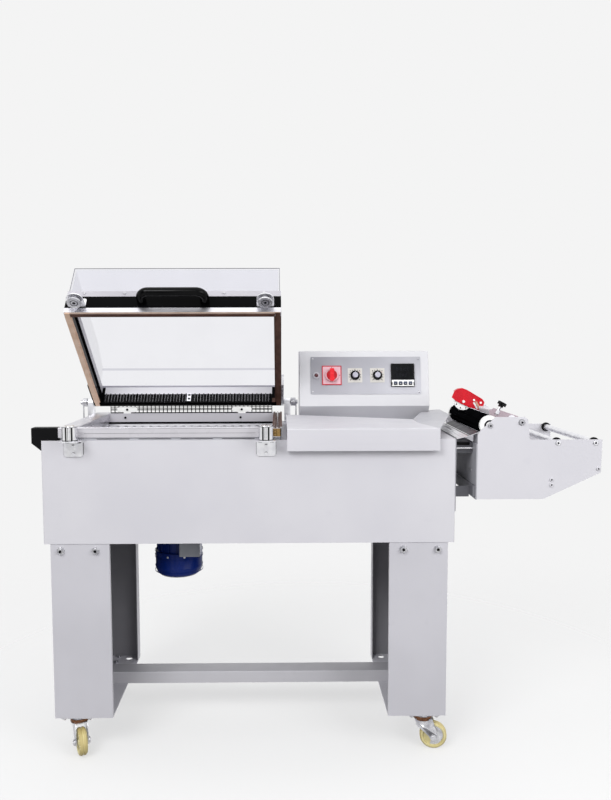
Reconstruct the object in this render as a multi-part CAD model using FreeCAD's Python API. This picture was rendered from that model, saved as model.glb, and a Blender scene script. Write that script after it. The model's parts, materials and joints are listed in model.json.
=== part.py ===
import FreeCAD, Part
import math
import os

V = FreeCAD.Vector

# Driving dimensions in millimetres.
# While the machine is laid out, X runs from the cabinet's left side to the right, Y from its
# front face to the back and Z up from the floor. The last step moves everything so that the
# origin is the middle of the whole machine's footprint, at floor level.

# Cabinet and stand
cabinet_width = 1120.0
cabinet_depth = 480.0
cabinet_height = 283.5
table_height = 884.0
cabinet_sheet = 2.0
cabinet_bend_radius = 4.0

frame_inset = 17.5
frame_setback = 2.0
frame_width = 160.0
frame_depth = 410.0
frame_sheet = 3.0
frame_front_lip = 12.0
frame_rear_lip = 40.0
frame_top_flange = 40.0
foot_hole_radius = 10.0
foot_hole_side_margin = 32.0
foot_hole_end_margin = 24.0

beam_front = 207.0
beam_depth = 61.0
beam_height = 35.5
beam_overlap = 60.0
beam_sheet = 3.0

bolt_shank_radius = 5.0
bolt_head_radius = 8.0
bolt_head_height = 6.0
washer_radius = 10.5
washer_thickness = 2.0
bolt_drop = 19.5
bolt_outer_margin = 28.0
bolt_inner_margin = 122.5

# Casters
caster_height = 108.0
caster_side_inset = 57.5
caster_end_inset = 36.0
caster_plate_length = 90.0
caster_plate_width = 66.0
caster_plate_thickness = 3.5
caster_cup_radius = 23.0
caster_cup_height = 8.0
caster_trail = 30.0
caster_wheel_radius = 37.5
caster_wheel_width = 26.0
caster_fork_sheet = 3.0
caster_fork_gap = 2.0
caster_pin_radius = 6.0
caster_axle_radius = 4.5
caster_plate_screw_radius = 4.0

# Lower sealing frame and heating chamber
seal_frame_left = 47.0
right_table_width = 470.0
seal_frame_depth = 440.0
seal_bar_height = 27.5
seal_bar_lift = 7.5
front_bar_depth = 22.0
left_bar_width = 50.0
right_bar_width = 27.0
rear_bar_depth = 44.0
gasket_setback = 6.0
rear_screw_radius = 3.5
seal_groove_width = 6.0
seal_groove_depth = 3.0
seal_wire_width = 3.0
seal_wire_proud = 0.6
chamber_depth_below_table = 194.0
liner_sheet = 1.5
slot_width = 8.0
slot_height = 14.0
slot_pitch = 26.0
slot_top_drop = 3.0
rack_drop = 34.0
rack_rod_radius = 3.0
rack_clearance = 4.0
rack_rod_pitch = 42.0
rack_seat_gap = 0.3
baffle_drop = 112.0
baffle_sheet = 1.5
baffle_inlet_radius = 85.0
heater_tube_radius = 5.0
heater_drop = 78.0
heater_loop_pitch = 60.0

# Fan and motor
fan_radius = 100.0
fan_blade_height = 40.0
fan_blade_count = 12
fan_plate_thickness = 2.0
fan_floor_gap = 8.0
shaft_radius = 7.0
shaft_clearance = 0.05
motor_offset_x = 339.0
motor_radius = 66.0
motor_fin_height = 4.5
motor_fin_count = 18
motor_flange_thickness = 10.0
motor_top_gap = 6.0
motor_length = 228.5
motor_cowl_height = 76.0
motor_cowl_radius = 71.0
motor_cowl_wall = 1.5
terminal_box_width = 60.0
terminal_box_depth = 34.0
terminal_gap = 1.0
terminal_cowl_gap = 1.5
terminal_offset = 43.0

# Hood
hood_open_angle = 40.7
hood_side_overlap = 3.0
hood_end_setback = 2.0
hood_front = -5.0
hood_depth = 446.0
hood_bar_thickness = 20.0
hood_jaw_height = 16.5
hood_bar_height = 44.0
hood_clamp_height = 20.5
hood_total_height = 179.0
hood_rear_wall_height = 150.0
hood_top_slope_start = 336.0
hood_cover_wall = 5.0
hood_cover_bend = 6.0
hood_cover_inset = 3.0
hood_closed_gap = 1.0
pivot_behind_front = 463.0
pivot_above_table = 66.0
pivot_pin_radius = 7.0
pin_stub = 24.0
hinge_arm_sheet = 8.0
hinge_arm_reach = 96.0
hinge_bracket_width = 20.0
hinge_side_gap = 2.0
hinge_lug_radius = 13.0
hinge_foot_length = 46.0
hinge_foot_thickness = 6.0
running_clearance = 0.05
pad_width = 14.0
pad_thickness = 2.0
handle_span = 203.0
handle_radius = 13.0
handle_reach = 40.0
comb_pitch = 14.5
comb_tooth_width = 3.0
comb_depth = 5.0
comb_sheet = 1.0
comb_drop = 18.0
comb_top_drop = 28.0
comb_clip_x = 299.0
comb_clip_width = 13.0
comb_clip_thickness = 2.5
guard_height = 28.0
guard_wire = 2.0
guard_wire_pitch = 26.0
clamp_plate_length = 64.0
clamp_plate_height = 16.0

# Hold-down magnets
magnet_left_inset = 41.0
magnet_right_inset = 43.5
armature_shift = 9.0
armature_right_shift = 2.0
magnet_radius = 20.0
magnet_height = 40.0
magnet_plate_width = 52.0
magnet_plate_height = 48.0
magnet_plate_rise = 4.0
magnet_plate_thickness = 3.0
magnet_reach = 34.0
armature_radius = 20.0
armature_thickness = 5.0
armature_air_gap = 0.6
armature_plate_width = 48.0
armature_stud_radius = 5.0
armature_foot_height = 30.0

# Left side cover
side_cover_width = 25.0
side_cover_depth = 28.0
side_cover_height = 62.0
side_cover_rise = 35.0
side_cover_slant = 20.0
side_cover_gap = 1.0

# Control box
control_gap = 55.5
control_right_margin = 2.5
control_crease_y = 350.0
control_crease_rise = 60.0
control_lean = 38.0
control_height = 232.0
control_top_depth = 84.0
control_base_y = 402.0
control_sheet = 2.0
panel_width = 350.0
panel_height = 120.0
panel_left_margin = 36.0
panel_centre_height = 98.0
panel_thickness = 2.0
panel_screw_radius = 3.0
switch_plate_size = 62.0
switch_plate_x = 103.0
switch_knob_radius = 21.0
switch_knob_height = 20.0
lamp_radius = 8.0
lamp_x = 54.0
dial_x = 177.0
dial_pitch = 71.0
dial_skirt_radius = 15.0
dial_skirt_height = 5.0
dial_cap_radius = 8.5
dial_knob_height = 14.0
dial_plate_size = 46.0
dial_plate_thickness = 1.0
meter_x = 328.0
meter_size = 74.0
meter_depth = 60.0
meter_bezel = 7.0
key_pitch = 15.6
key_width = 11.0
key_height = 8.0
key_proud = 1.6
key_gap = 0.4
key_side_gap = 0.35
key_travel = 1.5
key_pocket_depth = 3.6
knob_gap = 0.4
controls_height = 98.0

# Product tray
tray_gap = 13.0
tray_right_margin = 47.0
tray_front = -22.0
tray_rise = 32.0
tray_apron_height = 60.0
tray_sheet = 2.0
tray_left_depth = 392.0
tray_right_depth = 240.0
tray_fold_shift = 33.0
tray_fold_length = 132.0
inlet_reach = 85.0
inlet_drop = 0.2
inlet_side_depth = 142.0
inlet_rise_x = 0.0686
inlet_rise_y = 0.0174

# Film unwinder
unwinder_gap = 59.5
unwinder_width = 340.0
unwinder_front = 4.0
unwinder_span = 390.0
unwinder_drop = 166.0
unwinder_shoulder_drop = 3.0
unwinder_rise = 59.0
unwinder_sheet = 4.0
unwinder_flange = 46.0
unwinder_flange_drop = 47.0
feed_roller_inset = 34.1
feed_roller_rise = 35.4
feed_roller_radius = 27.0
feed_core_radius = 14.0
feed_cap_length = 12.0
roller_end_gap = 1.0
roller_pin_radius = 6.0
film_roller_inset = 219.2
film_roller_pitch = 102.0
film_roller_drop = 12.2
film_roller_radius = 9.0
film_collar_radius = 14.0
film_collar_width = 6.0
tie_bar_radius = 6.0
tie_bar_inset = 203.5
tie_bar_lift = 39.0
tie_bar_pitch = 14.3
tie_bar_end_margin = 9.5
tie_bar_end_lift = 82.7
mount_plate_thickness = 4.0
mount_plate_drop = 200.0
back_sheet_thickness = 3.0
back_sheet_drop = 14.0
rail_thickness = 8.0
rail_height = 30.0
rail_lift = 8.0
guide_rod_radius = 3.0
guide_rod_drop = 15.0
arm_sheet = 3.0
tie_screw_radius = 5.0
guide_sheet = 1.5
guide_hole_radius = 4.0
guide_hole_pitch = 42.0
guide_side_gap = 2.0
guide_lower_width = 34.0
guide_lower_rise = 8.0
guide_upper_width = 27.0
guide_upper_rise = 10.0
guide_length = 300.0
perforator_pivot_inset = 119.0
perforator_pivot_rise = 44.6
perforator_wheel_inset = 9.5
perforator_wheel_y = 214.0
perforator_wheel_radius = 28.4
perforator_wheel_width = 8.0
perforator_pin_length = 1.8
perforator_hole_radius = 2.2
perforator_hole_circle = 21.5
perforator_hole_count = 8
perforator_gap = 0.4
wheel_pin_radius = 4.0
guard_sheet = 3.0
guard_rim_depth = 12.0
guard_slot_width = 5.0
carrier_side = 14.0
carrier_x = 45.5
carrier_z = 14.0
lever_y = 96.0
lever_sheet = 5.0
knob_base_x = 39.5
knob_base_z = 19.4
knob_reach = 16.0
knob_star_radius = 13.0
knob_stem_radius = 4.0
knob_lean = 29.0

# Hood springs
spring_radius = 12.0
spring_wire = 4.0
spring_turns = 4
spring_bead_edge = 1.2
spring_side_gap = 1.0

# Levels and lines that follow from the sizes above
cabinet_bottom = table_height - cabinet_height
frame_rear = frame_setback + frame_depth
foot_level = caster_height
seal_bar_bottom = table_height + seal_bar_lift
seal_top = seal_bar_bottom + seal_bar_height
seal_frame_width = cabinet_width - right_table_width - seal_frame_left
seal_frame_right = seal_frame_left + seal_frame_width
chamber_left = seal_frame_left + left_bar_width
chamber_right = seal_frame_right - right_bar_width
chamber_front = front_bar_depth
chamber_rear = seal_frame_depth - rear_bar_depth
chamber_floor = table_height - chamber_depth_below_table
chamber_middle_y = (chamber_front + chamber_rear) / 2.0
hood_left = seal_frame_left - hood_side_overlap
hood_right = seal_frame_right - hood_end_setback
hood_bottom = seal_top + hood_closed_gap + pad_thickness
hood_bar_bottom = hood_bottom + hood_jaw_height
hood_bar_top = hood_bar_bottom + hood_bar_height
hood_clamp_top = hood_bar_top + hood_clamp_height
hood_rear = hood_front + hood_depth
pivot = V(0, hood_front + pivot_behind_front, table_height + pivot_above_table)
magnet_left_x = seal_frame_left + magnet_left_inset
magnet_right_x = seal_frame_right - magnet_right_inset
control_left = seal_frame_right + control_gap
control_width = cabinet_width - control_right_margin - control_left
tray_left = seal_frame_right + tray_gap
tray_width = cabinet_width - tray_right_margin - tray_left
unwinder_left = cabinet_width + unwinder_gap
unwinder_bottom = table_height - unwinder_drop
unwinder_shoulder = table_height - unwinder_shoulder_drop
unwinder_top = table_height + unwinder_rise
feed_roller_x = unwinder_left + feed_roller_inset
feed_roller_z = table_height + feed_roller_rise
film_roller_x = unwinder_left + film_roller_inset
film_roller_z = table_height - film_roller_drop
perforator_pivot_x = unwinder_left + perforator_pivot_inset
perforator_pivot_z = table_height + perforator_pivot_rise
perforator_wheel_x = unwinder_left + perforator_wheel_inset
frame_left_x = frame_inset
frame_right_x = cabinet_width - frame_inset - frame_width

nodes = {}


# Basic shapes

def box(x0, x1, y0, y1, z0, z1):
    return Part.makeBox(x1 - x0, y1 - y0, z1 - z0, V(x0, y0, z0))


def cylinder(radius, start, end):
    start = V(*start)
    along = V(*end) - start
    return Part.makeCylinder(radius, along.Length, start, along)


def tube(outer, inner, start, end):
    return cylinder(outer, start, end).cut(cylinder(inner, start, end))


def face_of(points):
    loop = [V(*p) for p in points]
    return Part.Face(Part.makePolygon(loop + loop[:1]))


def prism(points, along):
    return face_of(points).extrude(V(*along))


def profile_x(yz, x0, x1):
    return prism([(x0, y, z) for y, z in yz], (x1 - x0, 0, 0))


def profile_y(xz, y0, y1):
    return prism([(x, y0, z) for x, z in xz], (0, y1 - y0, 0))


def joined(shapes):
    first, rest = shapes[0], shapes[1:]
    return first.fuse(rest).removeSplitter() if rest else first


def group(shapes):
    solids = []
    for shape in shapes:
        solids.extend(shape.Solids)
    return Part.makeCompound(solids)


def moved(shape, x=0.0, y=0.0, z=0.0):
    copy = shape.copy()
    copy.translate(V(x, y, z))
    return copy


def turned(shape, degrees, point, axis):
    copy = shape.copy()
    copy.rotate(V(*point), V(*axis), degrees)
    return copy


def rounded(shape, radius, chosen):
    edges = [e for e in shape.Edges if chosen(e)]
    return shape.makeFillet(radius, edges) if edges and radius > 0 else shape


def runs_along(edge, axis):
    if not isinstance(edge.Curve, Part.Line):
        return False
    direction = edge.tangentAt(edge.FirstParameter)
    return abs(abs(direction.dot(V(*axis))) - 1.0) < 1e-6


def grid(first, last, pitch):
    count = max(1, int(round((last - first) / pitch)))
    step = (last - first) / count
    return [first + step * i for i in range(count + 1)]


# Cabinet

def cabinet_shell():
    outer = box(0, cabinet_width, 0, cabinet_depth, cabinet_bottom, table_height)
    outer = rounded(outer, cabinet_bend_radius, lambda e: runs_along(e, (0, 0, 1)))
    t = cabinet_sheet
    inner = box(t, cabinet_width - t, t, cabinet_depth - t, cabinet_bottom - 1, table_height - t)
    opening = box(chamber_left, chamber_right, chamber_front, chamber_rear,
                  table_height - 2 * t, table_height + 1)
    return outer.cut([inner, opening])


def cabinet_floor():
    t = cabinet_sheet
    plate = box(t, cabinet_width - t, t, cabinet_depth - t, cabinet_bottom, cabinet_bottom + t)
    rim = []
    for y0, y1 in ((t, 2 * t), (cabinet_depth - 2 * t, cabinet_depth - t)):
        rim.append(box(t, cabinet_width - t, y0, y1, cabinet_bottom, cabinet_bottom + 20))
    passage = cylinder(motor_cowl_radius + 12, (motor_offset_x, chamber_middle_y, cabinet_bottom - 1),
                       (motor_offset_x, chamber_middle_y, cabinet_bottom + 2 * t))
    return joined([plate] + rim).cut(passage)


def side_frame(x0, x1, web_side):
    """A folded stand side: front flange, outer web, rear flange with a lip, foot plate, top rim."""
    t = frame_sheet
    y0, y1 = frame_setback, frame_rear
    top = cabinet_bottom
    web_x = (x0, x0 + t) if web_side < 0 else (x1 - t, x1)
    inner_x = (x1 - t, x1) if web_side < 0 else (x0, x0 + t)
    parts = [
        box(web_x[0], web_x[1], y0, y1, foot_level, top),
        box(x0, x1, y0, y0 + t, foot_level, top),
        box(x0, x1, y1 - t, y1, foot_level, top),
        box(inner_x[0], inner_x[1], y0, y0 + frame_front_lip, foot_level, top),
        box(inner_x[0], inner_x[1], y1 - frame_rear_lip, y1, foot_level, top),
        box(x0, x1, y0, y1, foot_level, foot_level + t),
    ]
    rim = box(x0, x1, y0, y1, top - t, top)
    rim = rim.cut(box(x0 + frame_top_flange, x1 - frame_top_flange, y0 + frame_top_flange,
                      y1 - frame_top_flange, top - 2 * t, top + 1))
    body = joined(parts + [rim])
    holes = [cylinder(foot_hole_radius, (x, y, foot_level - 1), (x, y, foot_level + 2 * t))
             for x, y in foot_holes(x0, x1, web_side)]
    for x, y, into in leg_bolt_places(x0, x1, web_side):
        holes.append(cylinder(bolt_shank_radius + 0.3, (x, y - 20 * into, bolt_level()),
                              (x, y + 20 * into, bolt_level())))
    for x, y in caster_places():
        if x0 < x < x1:
            holes += [cylinder(caster_plate_screw_radius + 0.3, (px, py, foot_level - 1),
                               (px, py, foot_level + 2 * t)) for px, py in caster_screw_places(x, y)]
    return body.cut(holes)


def foot_holes(x0, x1, web_side):
    x = x1 - foot_hole_side_margin if web_side < 0 else x0 + foot_hole_side_margin
    return [(x, frame_setback + foot_hole_end_margin), (x, frame_rear - foot_hole_end_margin)]


def bolt_level():
    return cabinet_bottom - bolt_drop


def leg_bolt_places(x0, x1, web_side):
    """Places of the bolts through a leg's front and rear flange, with the way they go in."""
    margins = (bolt_outer_margin, bolt_inner_margin)
    xs = [x0 + m if web_side < 0 else x1 - m for m in margins]
    return [(x, frame_setback, 1) for x in xs] + [(x, frame_rear, -1) for x in xs]


def hex_bolt(place, into, shank):
    """A socket bolt with washer; its head sits against a wall and the shank points into it."""
    x, y, z = place
    dx, dy, dz = into

    def at(d):
        return (x + dx * d, y + dy * d, z + dz * d)

    washer = cylinder(washer_radius, at(-washer_thickness), at(0))
    head = cylinder(bolt_head_radius, at(-washer_thickness - bolt_head_height), at(-washer_thickness))
    socket = cylinder(bolt_head_radius * 0.5, at(-washer_thickness - bolt_head_height - 1),
                      at(-washer_thickness - bolt_head_height * 0.4))
    stem = cylinder(bolt_shank_radius, at(-washer_thickness), at(shank))
    return joined([head.cut(socket), washer, stem])


def frame_bolts():
    bolts = []
    for x0, web_side in ((frame_left_x, -1), (frame_right_x, 1)):
        for x, y, into in leg_bolt_places(x0, x0 + frame_width, web_side):
            bolts.append(hex_bolt((x, y, bolt_level()), (0, into, 0), 3 * frame_sheet))
    return group(bolts)


def beam_ends():
    return (frame_left_x + frame_width - beam_overlap, frame_right_x + beam_overlap)


def cross_beam():
    """A channel, open below, that ties the two foot plates together."""
    x0, x1 = beam_ends()
    y0, y1 = beam_front, beam_front + beam_depth
    z0 = foot_level + frame_sheet
    z1 = z0 + beam_height
    t = beam_sheet
    outer = box(x0, x1, y0, y1, z0, z1)
    outer = rounded(outer, t, lambda e: runs_along(e, (1, 0, 0)) and e.CenterOfMass.z > z1 - 1)
    inner = box(x0 - 1, x1 + 1, y0 + t, y1 - t, z0 - 1, z1 - t)
    tabs = [box(x, x + beam_overlap - 10, y0 + t, y1 - t, z0, z0 + t) for x in (x0, x1 - beam_overlap + 10)]
    return joined([outer.cut(inner)] + tabs)


# Casters

def caster_places():
    xs = (frame_left_x + caster_side_inset, frame_right_x + frame_width - caster_side_inset)
    ys = (frame_setback + caster_end_inset, frame_rear - caster_end_inset)
    return [(xs[0], ys[0]), (xs[1], ys[0]), (xs[0], ys[1]), (xs[1], ys[1])]


caster_names = ("front_left", "front_right", "rear_left", "rear_right")
caster_turns = (-66.0, -8.0, 62.0, 24.0)


def caster_screw_places(x, y):
    dx = caster_plate_length / 2.0 - 10
    dy = caster_plate_width / 2.0 - 10
    return [(x + sx * dx, y + sy * dy) for sx in (-1, 1) for sy in (-1, 1)]


def caster_fork_top():
    return foot_level - caster_plate_thickness - caster_cup_height - 0.3


def caster_plate(x, y):
    """Top plate with the upper ball cup, the king pin with its head, and four bolt ends."""
    top = foot_level
    under = top - caster_plate_thickness
    plate = box(x - caster_plate_length / 2.0, x + caster_plate_length / 2.0,
                y - caster_plate_width / 2.0, y + caster_plate_width / 2.0, under, top)
    plate = rounded(plate, 8, lambda e: runs_along(e, (0, 0, 1)))
    cup = cylinder(caster_cup_radius, (x, y, under - caster_cup_height), (x, y, under))
    fork_top = caster_fork_top()
    pin = cylinder(caster_pin_radius, (x, y, fork_top - 12), (x, y, under))
    head = cylinder(caster_pin_radius + 4, (x, y, fork_top - 12 - 5), (x, y, fork_top - 12))
    screws = []
    for px, py in caster_screw_places(x, y):
        screws.append(cylinder(caster_plate_screw_radius, (px, py, under - 7), (px, py, top + 9)))
        screws.append(cylinder(caster_plate_screw_radius * 1.8, (px, py, under - 4), (px, py, under)))
        screws.append(cylinder(caster_plate_screw_radius * 1.8, (px, py, top + frame_sheet),
                               (px, py, top + frame_sheet + 5)))
    return joined([plate, cup, pin, head] + screws)


def caster_fork(x, y, turn):
    """Swivelling fork with its lower ball race, two cheeks and the wheel's axle bolt."""
    top = caster_fork_top()
    deck = top - 11
    t = caster_fork_sheet
    half = caster_wheel_width / 2.0 + caster_fork_gap + t
    axle = V(x + caster_trail, y, caster_wheel_radius)
    race = cylinder(caster_cup_radius + 2, (x, y, deck), (x, y, top))
    cheeks = []
    for side in (-1, 1):
        y0 = y + side * half
        outline = [(x - 22, deck + t), (x + 27, deck + t), (axle.x + 12, axle.z + 8), (axle.x + 9, axle.z - 9),
                   (axle.x - 6, axle.z - 11), (axle.x - 13, axle.z + 2), (x - 17, deck - 16)]
        cheek = prism([(px, y0, pz) for px, pz in outline], (0, -side * t, 0))
        cheeks.append(rounded(cheek, 4, lambda e: runs_along(e, (0, 1, 0)) and e.CenterOfMass.z < axle.z + 9))
    bridge = box(x - 22, x + 27, y - half, y + half, deck, deck + t)
    bore = cylinder(caster_pin_radius + running_clearance, (x, y, deck - 30), (x, y, top + 1))
    head_room = cylinder(caster_pin_radius + 4.6, (x, y, deck - 30), (x, y, top - 11.7))
    fork = joined([race, bridge] + cheeks).cut([bore, head_room])
    bolt = cylinder(caster_axle_radius, (axle.x, y - half - 6, axle.z), (axle.x, y + half + 6, axle.z))
    nut_radius = caster_axle_radius * 1.9
    nuts = [cylinder(nut_radius, (axle.x, y + s * half, axle.z), (axle.x, y + s * (half + 4.5), axle.z))
            for s in (-1, 1)]
    axle_bolt = joined([bolt] + nuts)
    fork = fork.cut(axle_bolt)
    return turned(group([fork, axle_bolt]), turn, (x, y, 0), (0, 0, 1))


def caster_wheel(x, y, turn):
    """Wheel turned from one profile: crowned tread with a groove, recessed sides and a hub."""
    r, w = caster_wheel_radius, caster_wheel_width / 2.0
    hub, web = 10.0, 6.0
    bore = caster_axle_radius + running_clearance
    ax = x + caster_trail
    right = [(bore, w), (hub, w), (hub + 2, web), (r - 10, web), (r - 8, w - 1.5), (r - 4, w - 1.5), (r, w - 6),
             (r, 2.0), (r - 2.0, 1.0)]
    outline = right + [(pr, -pw) for pr, pw in reversed(right)]
    section = face_of([(ax + pr, y + pw, caster_wheel_radius) for pr, pw in outline])
    wheel = section.revolve(V(ax, y, caster_wheel_radius), V(0, 1, 0), 360)
    return turned(wheel, turn, (x, y, 0), (0, 0, 1))


# Lower sealing frame and heating chamber

def seal_frame():
    """Aluminium front, left and rear bars; the front one is grooved for its sealing ribbon."""
    bar = box(seal_frame_left, chamber_right, 0, front_bar_depth, seal_bar_bottom, seal_top)
    groove = box(seal_frame_left - 1, chamber_right + 1, front_bar_depth / 2.0 - seal_groove_width / 2.0,
                 front_bar_depth / 2.0 + seal_groove_width / 2.0, seal_top - seal_groove_depth, seal_top + 1)
    front = rounded(bar, 1.5, lambda e: runs_along(e, (1, 0, 0)) and e.CenterOfMass.y < 1).cut(groove)
    left = box(seal_frame_left, chamber_left, front_bar_depth, chamber_rear, seal_bar_bottom, seal_top)
    rear = box(seal_frame_left, chamber_right, chamber_rear, seal_frame_depth, seal_bar_bottom, seal_top)
    left = rounded(left, 1.5, lambda e: e.CenterOfMass.z > seal_top - 0.1 and runs_along(e, (0, 1, 0)))
    screws = [cylinder(rear_screw_radius, (x, chamber_rear - 2.5, seal_top - seal_bar_height / 2.0),
                       (x, chamber_rear, seal_top - seal_bar_height / 2.0))
              for x in (chamber_left + 50, chamber_right - 106)]
    return group([front, left, joined([rear] + screws)])


def frame_gasket():
    """Dark heat-proof packing between the table and the sealing bars, set back from their edges."""
    s = gasket_setback
    outer = box(seal_frame_left + s, seal_frame_left + seal_frame_width - s, s, seal_frame_depth - s,
                table_height, seal_bar_bottom)
    inner = box(chamber_left - s, chamber_right + s, chamber_front - s, chamber_rear + s,
                table_height - 1, seal_bar_bottom + 1)
    return outer.cut(inner)


def right_seal_bar():
    """Side jaw that cuts the film across: a bar with two grooves beside the hot wire's rib."""
    x0, x1 = chamber_right, chamber_right + right_bar_width
    bar = box(x0, x1, 0, seal_frame_depth, seal_bar_bottom, seal_top)
    middle = (x0 + x1) / 2.0
    grooves = []
    for side in (-1, 1):
        a = middle + side * (seal_wire_width / 2.0 + 1.0)
        b = a + side * 5.0
        grooves.append(box(min(a, b), max(a, b), -1, seal_frame_depth + 1,
                           seal_top - seal_groove_depth, seal_top + 1))
    return bar.cut(grooves)


def seal_wires():
    """Resistance ribbons in the front and side bars, with a brass terminal block at each end."""
    middle_y = front_bar_depth / 2.0
    middle_x = chamber_right + right_bar_width / 2.0
    half = seal_wire_width / 2.0
    floor = seal_top - seal_groove_depth
    rib = box(seal_frame_left + 16, chamber_right - 2, middle_y - half, middle_y + half,
              floor, seal_top + seal_wire_proud)
    cutter = box(middle_x - half, middle_x + half, 14, seal_frame_depth - 16,
                 seal_top, seal_top + seal_wire_proud)
    post_x = seal_frame_left + 8
    posts = [cylinder(2.5, (post_x, middle_y, floor), (post_x, middle_y, seal_top + seal_wire_proud))]
    block = box(chamber_right - 9, chamber_right + right_bar_width - 4, -9, 0,
                seal_bar_bottom + 3, seal_top - 4)
    block = rounded(block, 1.5, lambda e: runs_along(e, (0, 1, 0)))
    studs = [cylinder(2.6, (x, -13, z), (x, -9, z)) for x in (chamber_right - 4, middle_x)
             for z in (seal_bar_bottom + 8, seal_top - 10)]
    return group([rib, cutter, joined([block] + studs)] + posts)


def liner_slot_tools():
    """Cutters for the row of air slots along each long wall, high up."""
    z1 = table_height - cabinet_sheet - slot_top_drop
    z0 = z1 - slot_height
    xs = grid(chamber_left + slot_pitch, chamber_right - slot_pitch, slot_pitch)
    cutters = []
    for y in (chamber_front, chamber_rear):
        for x in xs:
            cutters.append(box(x - slot_width / 2.0, x + slot_width / 2.0, y - 6, y + 6, z0, z1))
    return cutters


def chamber_liner():
    """Sheet tub under the table's opening, with a hanging flange below the table sheet."""
    t = liner_sheet
    x0, x1, y0, y1 = chamber_left, chamber_right, chamber_front, chamber_rear
    top = table_height - cabinet_sheet
    tub = box(x0 - t, x1 + t, y0 - t, y1 + t, chamber_floor - t, top)
    tub = tub.cut(box(x0, x1, y0, y1, chamber_floor, top + 1))
    flange = box(x0 - 14, x1 + 14, y0 - 14, y1 + 14, top - t, top)
    flange = flange.cut(box(x0, x1, y0, y1, top - 2 * t, top + 1))
    hole = cylinder(shaft_radius + 2, (motor_offset_x, chamber_middle_y, chamber_floor - 2 * t),
                    (motor_offset_x, chamber_middle_y, chamber_floor + 1))
    pegs = []
    for x, side in ((x0, 1), (x1, -1)):
        for y in (y0 + 60, y1 - 60):
            z = rack_level() - 2 * rack_rod_radius - rack_seat_gap
            pegs.append(box(min(x, x + side * 12), max(x, x + side * 12), y - 8, y + 8, z - 3, z))
    return joined([tub, flange] + pegs).cut(liner_slot_tools() + [hole])


def rack_level():
    """Top of the product rack."""
    return table_height - rack_drop


def product_rack():
    """Welded rod grid that lies on four pegs in the chamber."""
    r = rack_rod_radius
    x0, x1 = chamber_left + rack_clearance + r, chamber_right - rack_clearance - r
    y0, y1 = chamber_front + rack_clearance + r, chamber_rear - rack_clearance - r
    z = rack_level() - r
    rods = [cylinder(r, (x0, y, z), (x1, y, z)) for y in (y0, y1)]
    rods += [cylinder(r, (x, y0, z), (x, y1, z)) for x in (x0, x1)]
    for x in grid(x0, x1, rack_rod_pitch)[1:-1]:
        rods.append(cylinder(r * 0.7, (x, y0, z), (x, y1, z)))
    corners = [Part.makeSphere(r, V(x, y, z)) for x in (x0, x1) for y in (y0, y1)]
    return joined(rods + corners)


def baffle_plate():
    """Sheet over the fan with one round inlet; its turned-down sides stand on the tub's floor."""
    z = table_height - baffle_drop
    t = baffle_sheet
    x0, x1, y0, y1 = chamber_left + 20, chamber_right - 20, chamber_front + 12, chamber_rear - 12
    sheet = box(x0, x1, y0, y1, z - t, z)
    sides = [box(x, x + t, y0, y1, chamber_floor, z) for x in (x0, x1 - t)]
    inlet = cylinder(baffle_inlet_radius, (motor_offset_x, chamber_middle_y, z - 2 * t),
                     (motor_offset_x, chamber_middle_y, z + 1))
    return joined([sheet] + sides).cut(inlet)


def heater_tubes():
    """Hairpin tube heaters held on end plates above the baffle."""
    z = table_height - heater_drop
    floor = table_height - baffle_drop
    r = heater_tube_radius
    x0, x1 = chamber_left + 50, chamber_right - 50
    tubes = []
    for y in (chamber_front + 34, chamber_rear - 34 - heater_loop_pitch):
        ya, yb = y, y + heater_loop_pitch
        bend = heater_loop_pitch / 2.0
        path = Part.Wire([
            Part.LineSegment(V(x0, ya, z), V(x1, ya, z)).toShape(),
            Part.Arc(V(x1, ya, z), V(x1 + bend, ya + bend, z), V(x1, yb, z)).toShape(),
            Part.LineSegment(V(x1, yb, z), V(x0, yb, z)).toShape(),
        ])
        circle = Part.Wire([Part.makeCircle(r, V(x0, ya, z), V(1, 0, 0))])
        tubes.append(path.makePipeShell([circle], True, True))
        plate = box(x0 - 4, x0 - 1, ya - 14, yb + 14, floor, z + 14)
        stand = box(x1 - 3, x1, ya - 14, yb + 14, floor, z - r)
        ends = [cylinder(r * 0.8, (x0 - 20, yy, z), (x0, yy, z)) for yy in (ya, yb)]
        tubes += [joined([plate] + ends), stand]
    return group(tubes)


# Fan and motor

def motor_top():
    return chamber_floor - liner_sheet - motor_top_gap


def cowl_bottom():
    return motor_top() - motor_length


def fan_wheel():
    """Blower wheel: back plate, straight vanes and hub, with the motor shaft in its bore."""
    x, y = motor_offset_x, chamber_middle_y
    z0 = chamber_floor + fan_floor_gap
    z1 = z0 + fan_plate_thickness
    plate = cylinder(fan_radius, (x, y, z0), (x, y, z1))
    hub = cylinder(shaft_radius * 2.0, (x, y, z0), (x, y, z1 + fan_blade_height * 0.7))
    vane = box(x + fan_radius * 0.45, x + fan_radius - 1, y - 0.9, y + 0.9, z1, z1 + fan_blade_height)
    vanes = [turned(vane, 360.0 / fan_blade_count * i, (x, y, 0), (0, 0, 1)) for i in range(fan_blade_count)]
    bore = cylinder(shaft_radius, (x, y, z0 - 1), (x, y, z1 + fan_blade_height))
    wheel = joined([plate, hub] + vanes).cut(bore)
    shaft = cylinder(shaft_radius, (x, y, motor_top() - 90), (x, y, z1 + fan_blade_height * 0.7))
    nut_z = z1 + fan_blade_height * 0.7
    nut = cylinder(shaft_radius * 1.5, (x, y, nut_z), (x, y, nut_z + 7))
    return group([wheel, joined([shaft, nut])])


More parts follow.
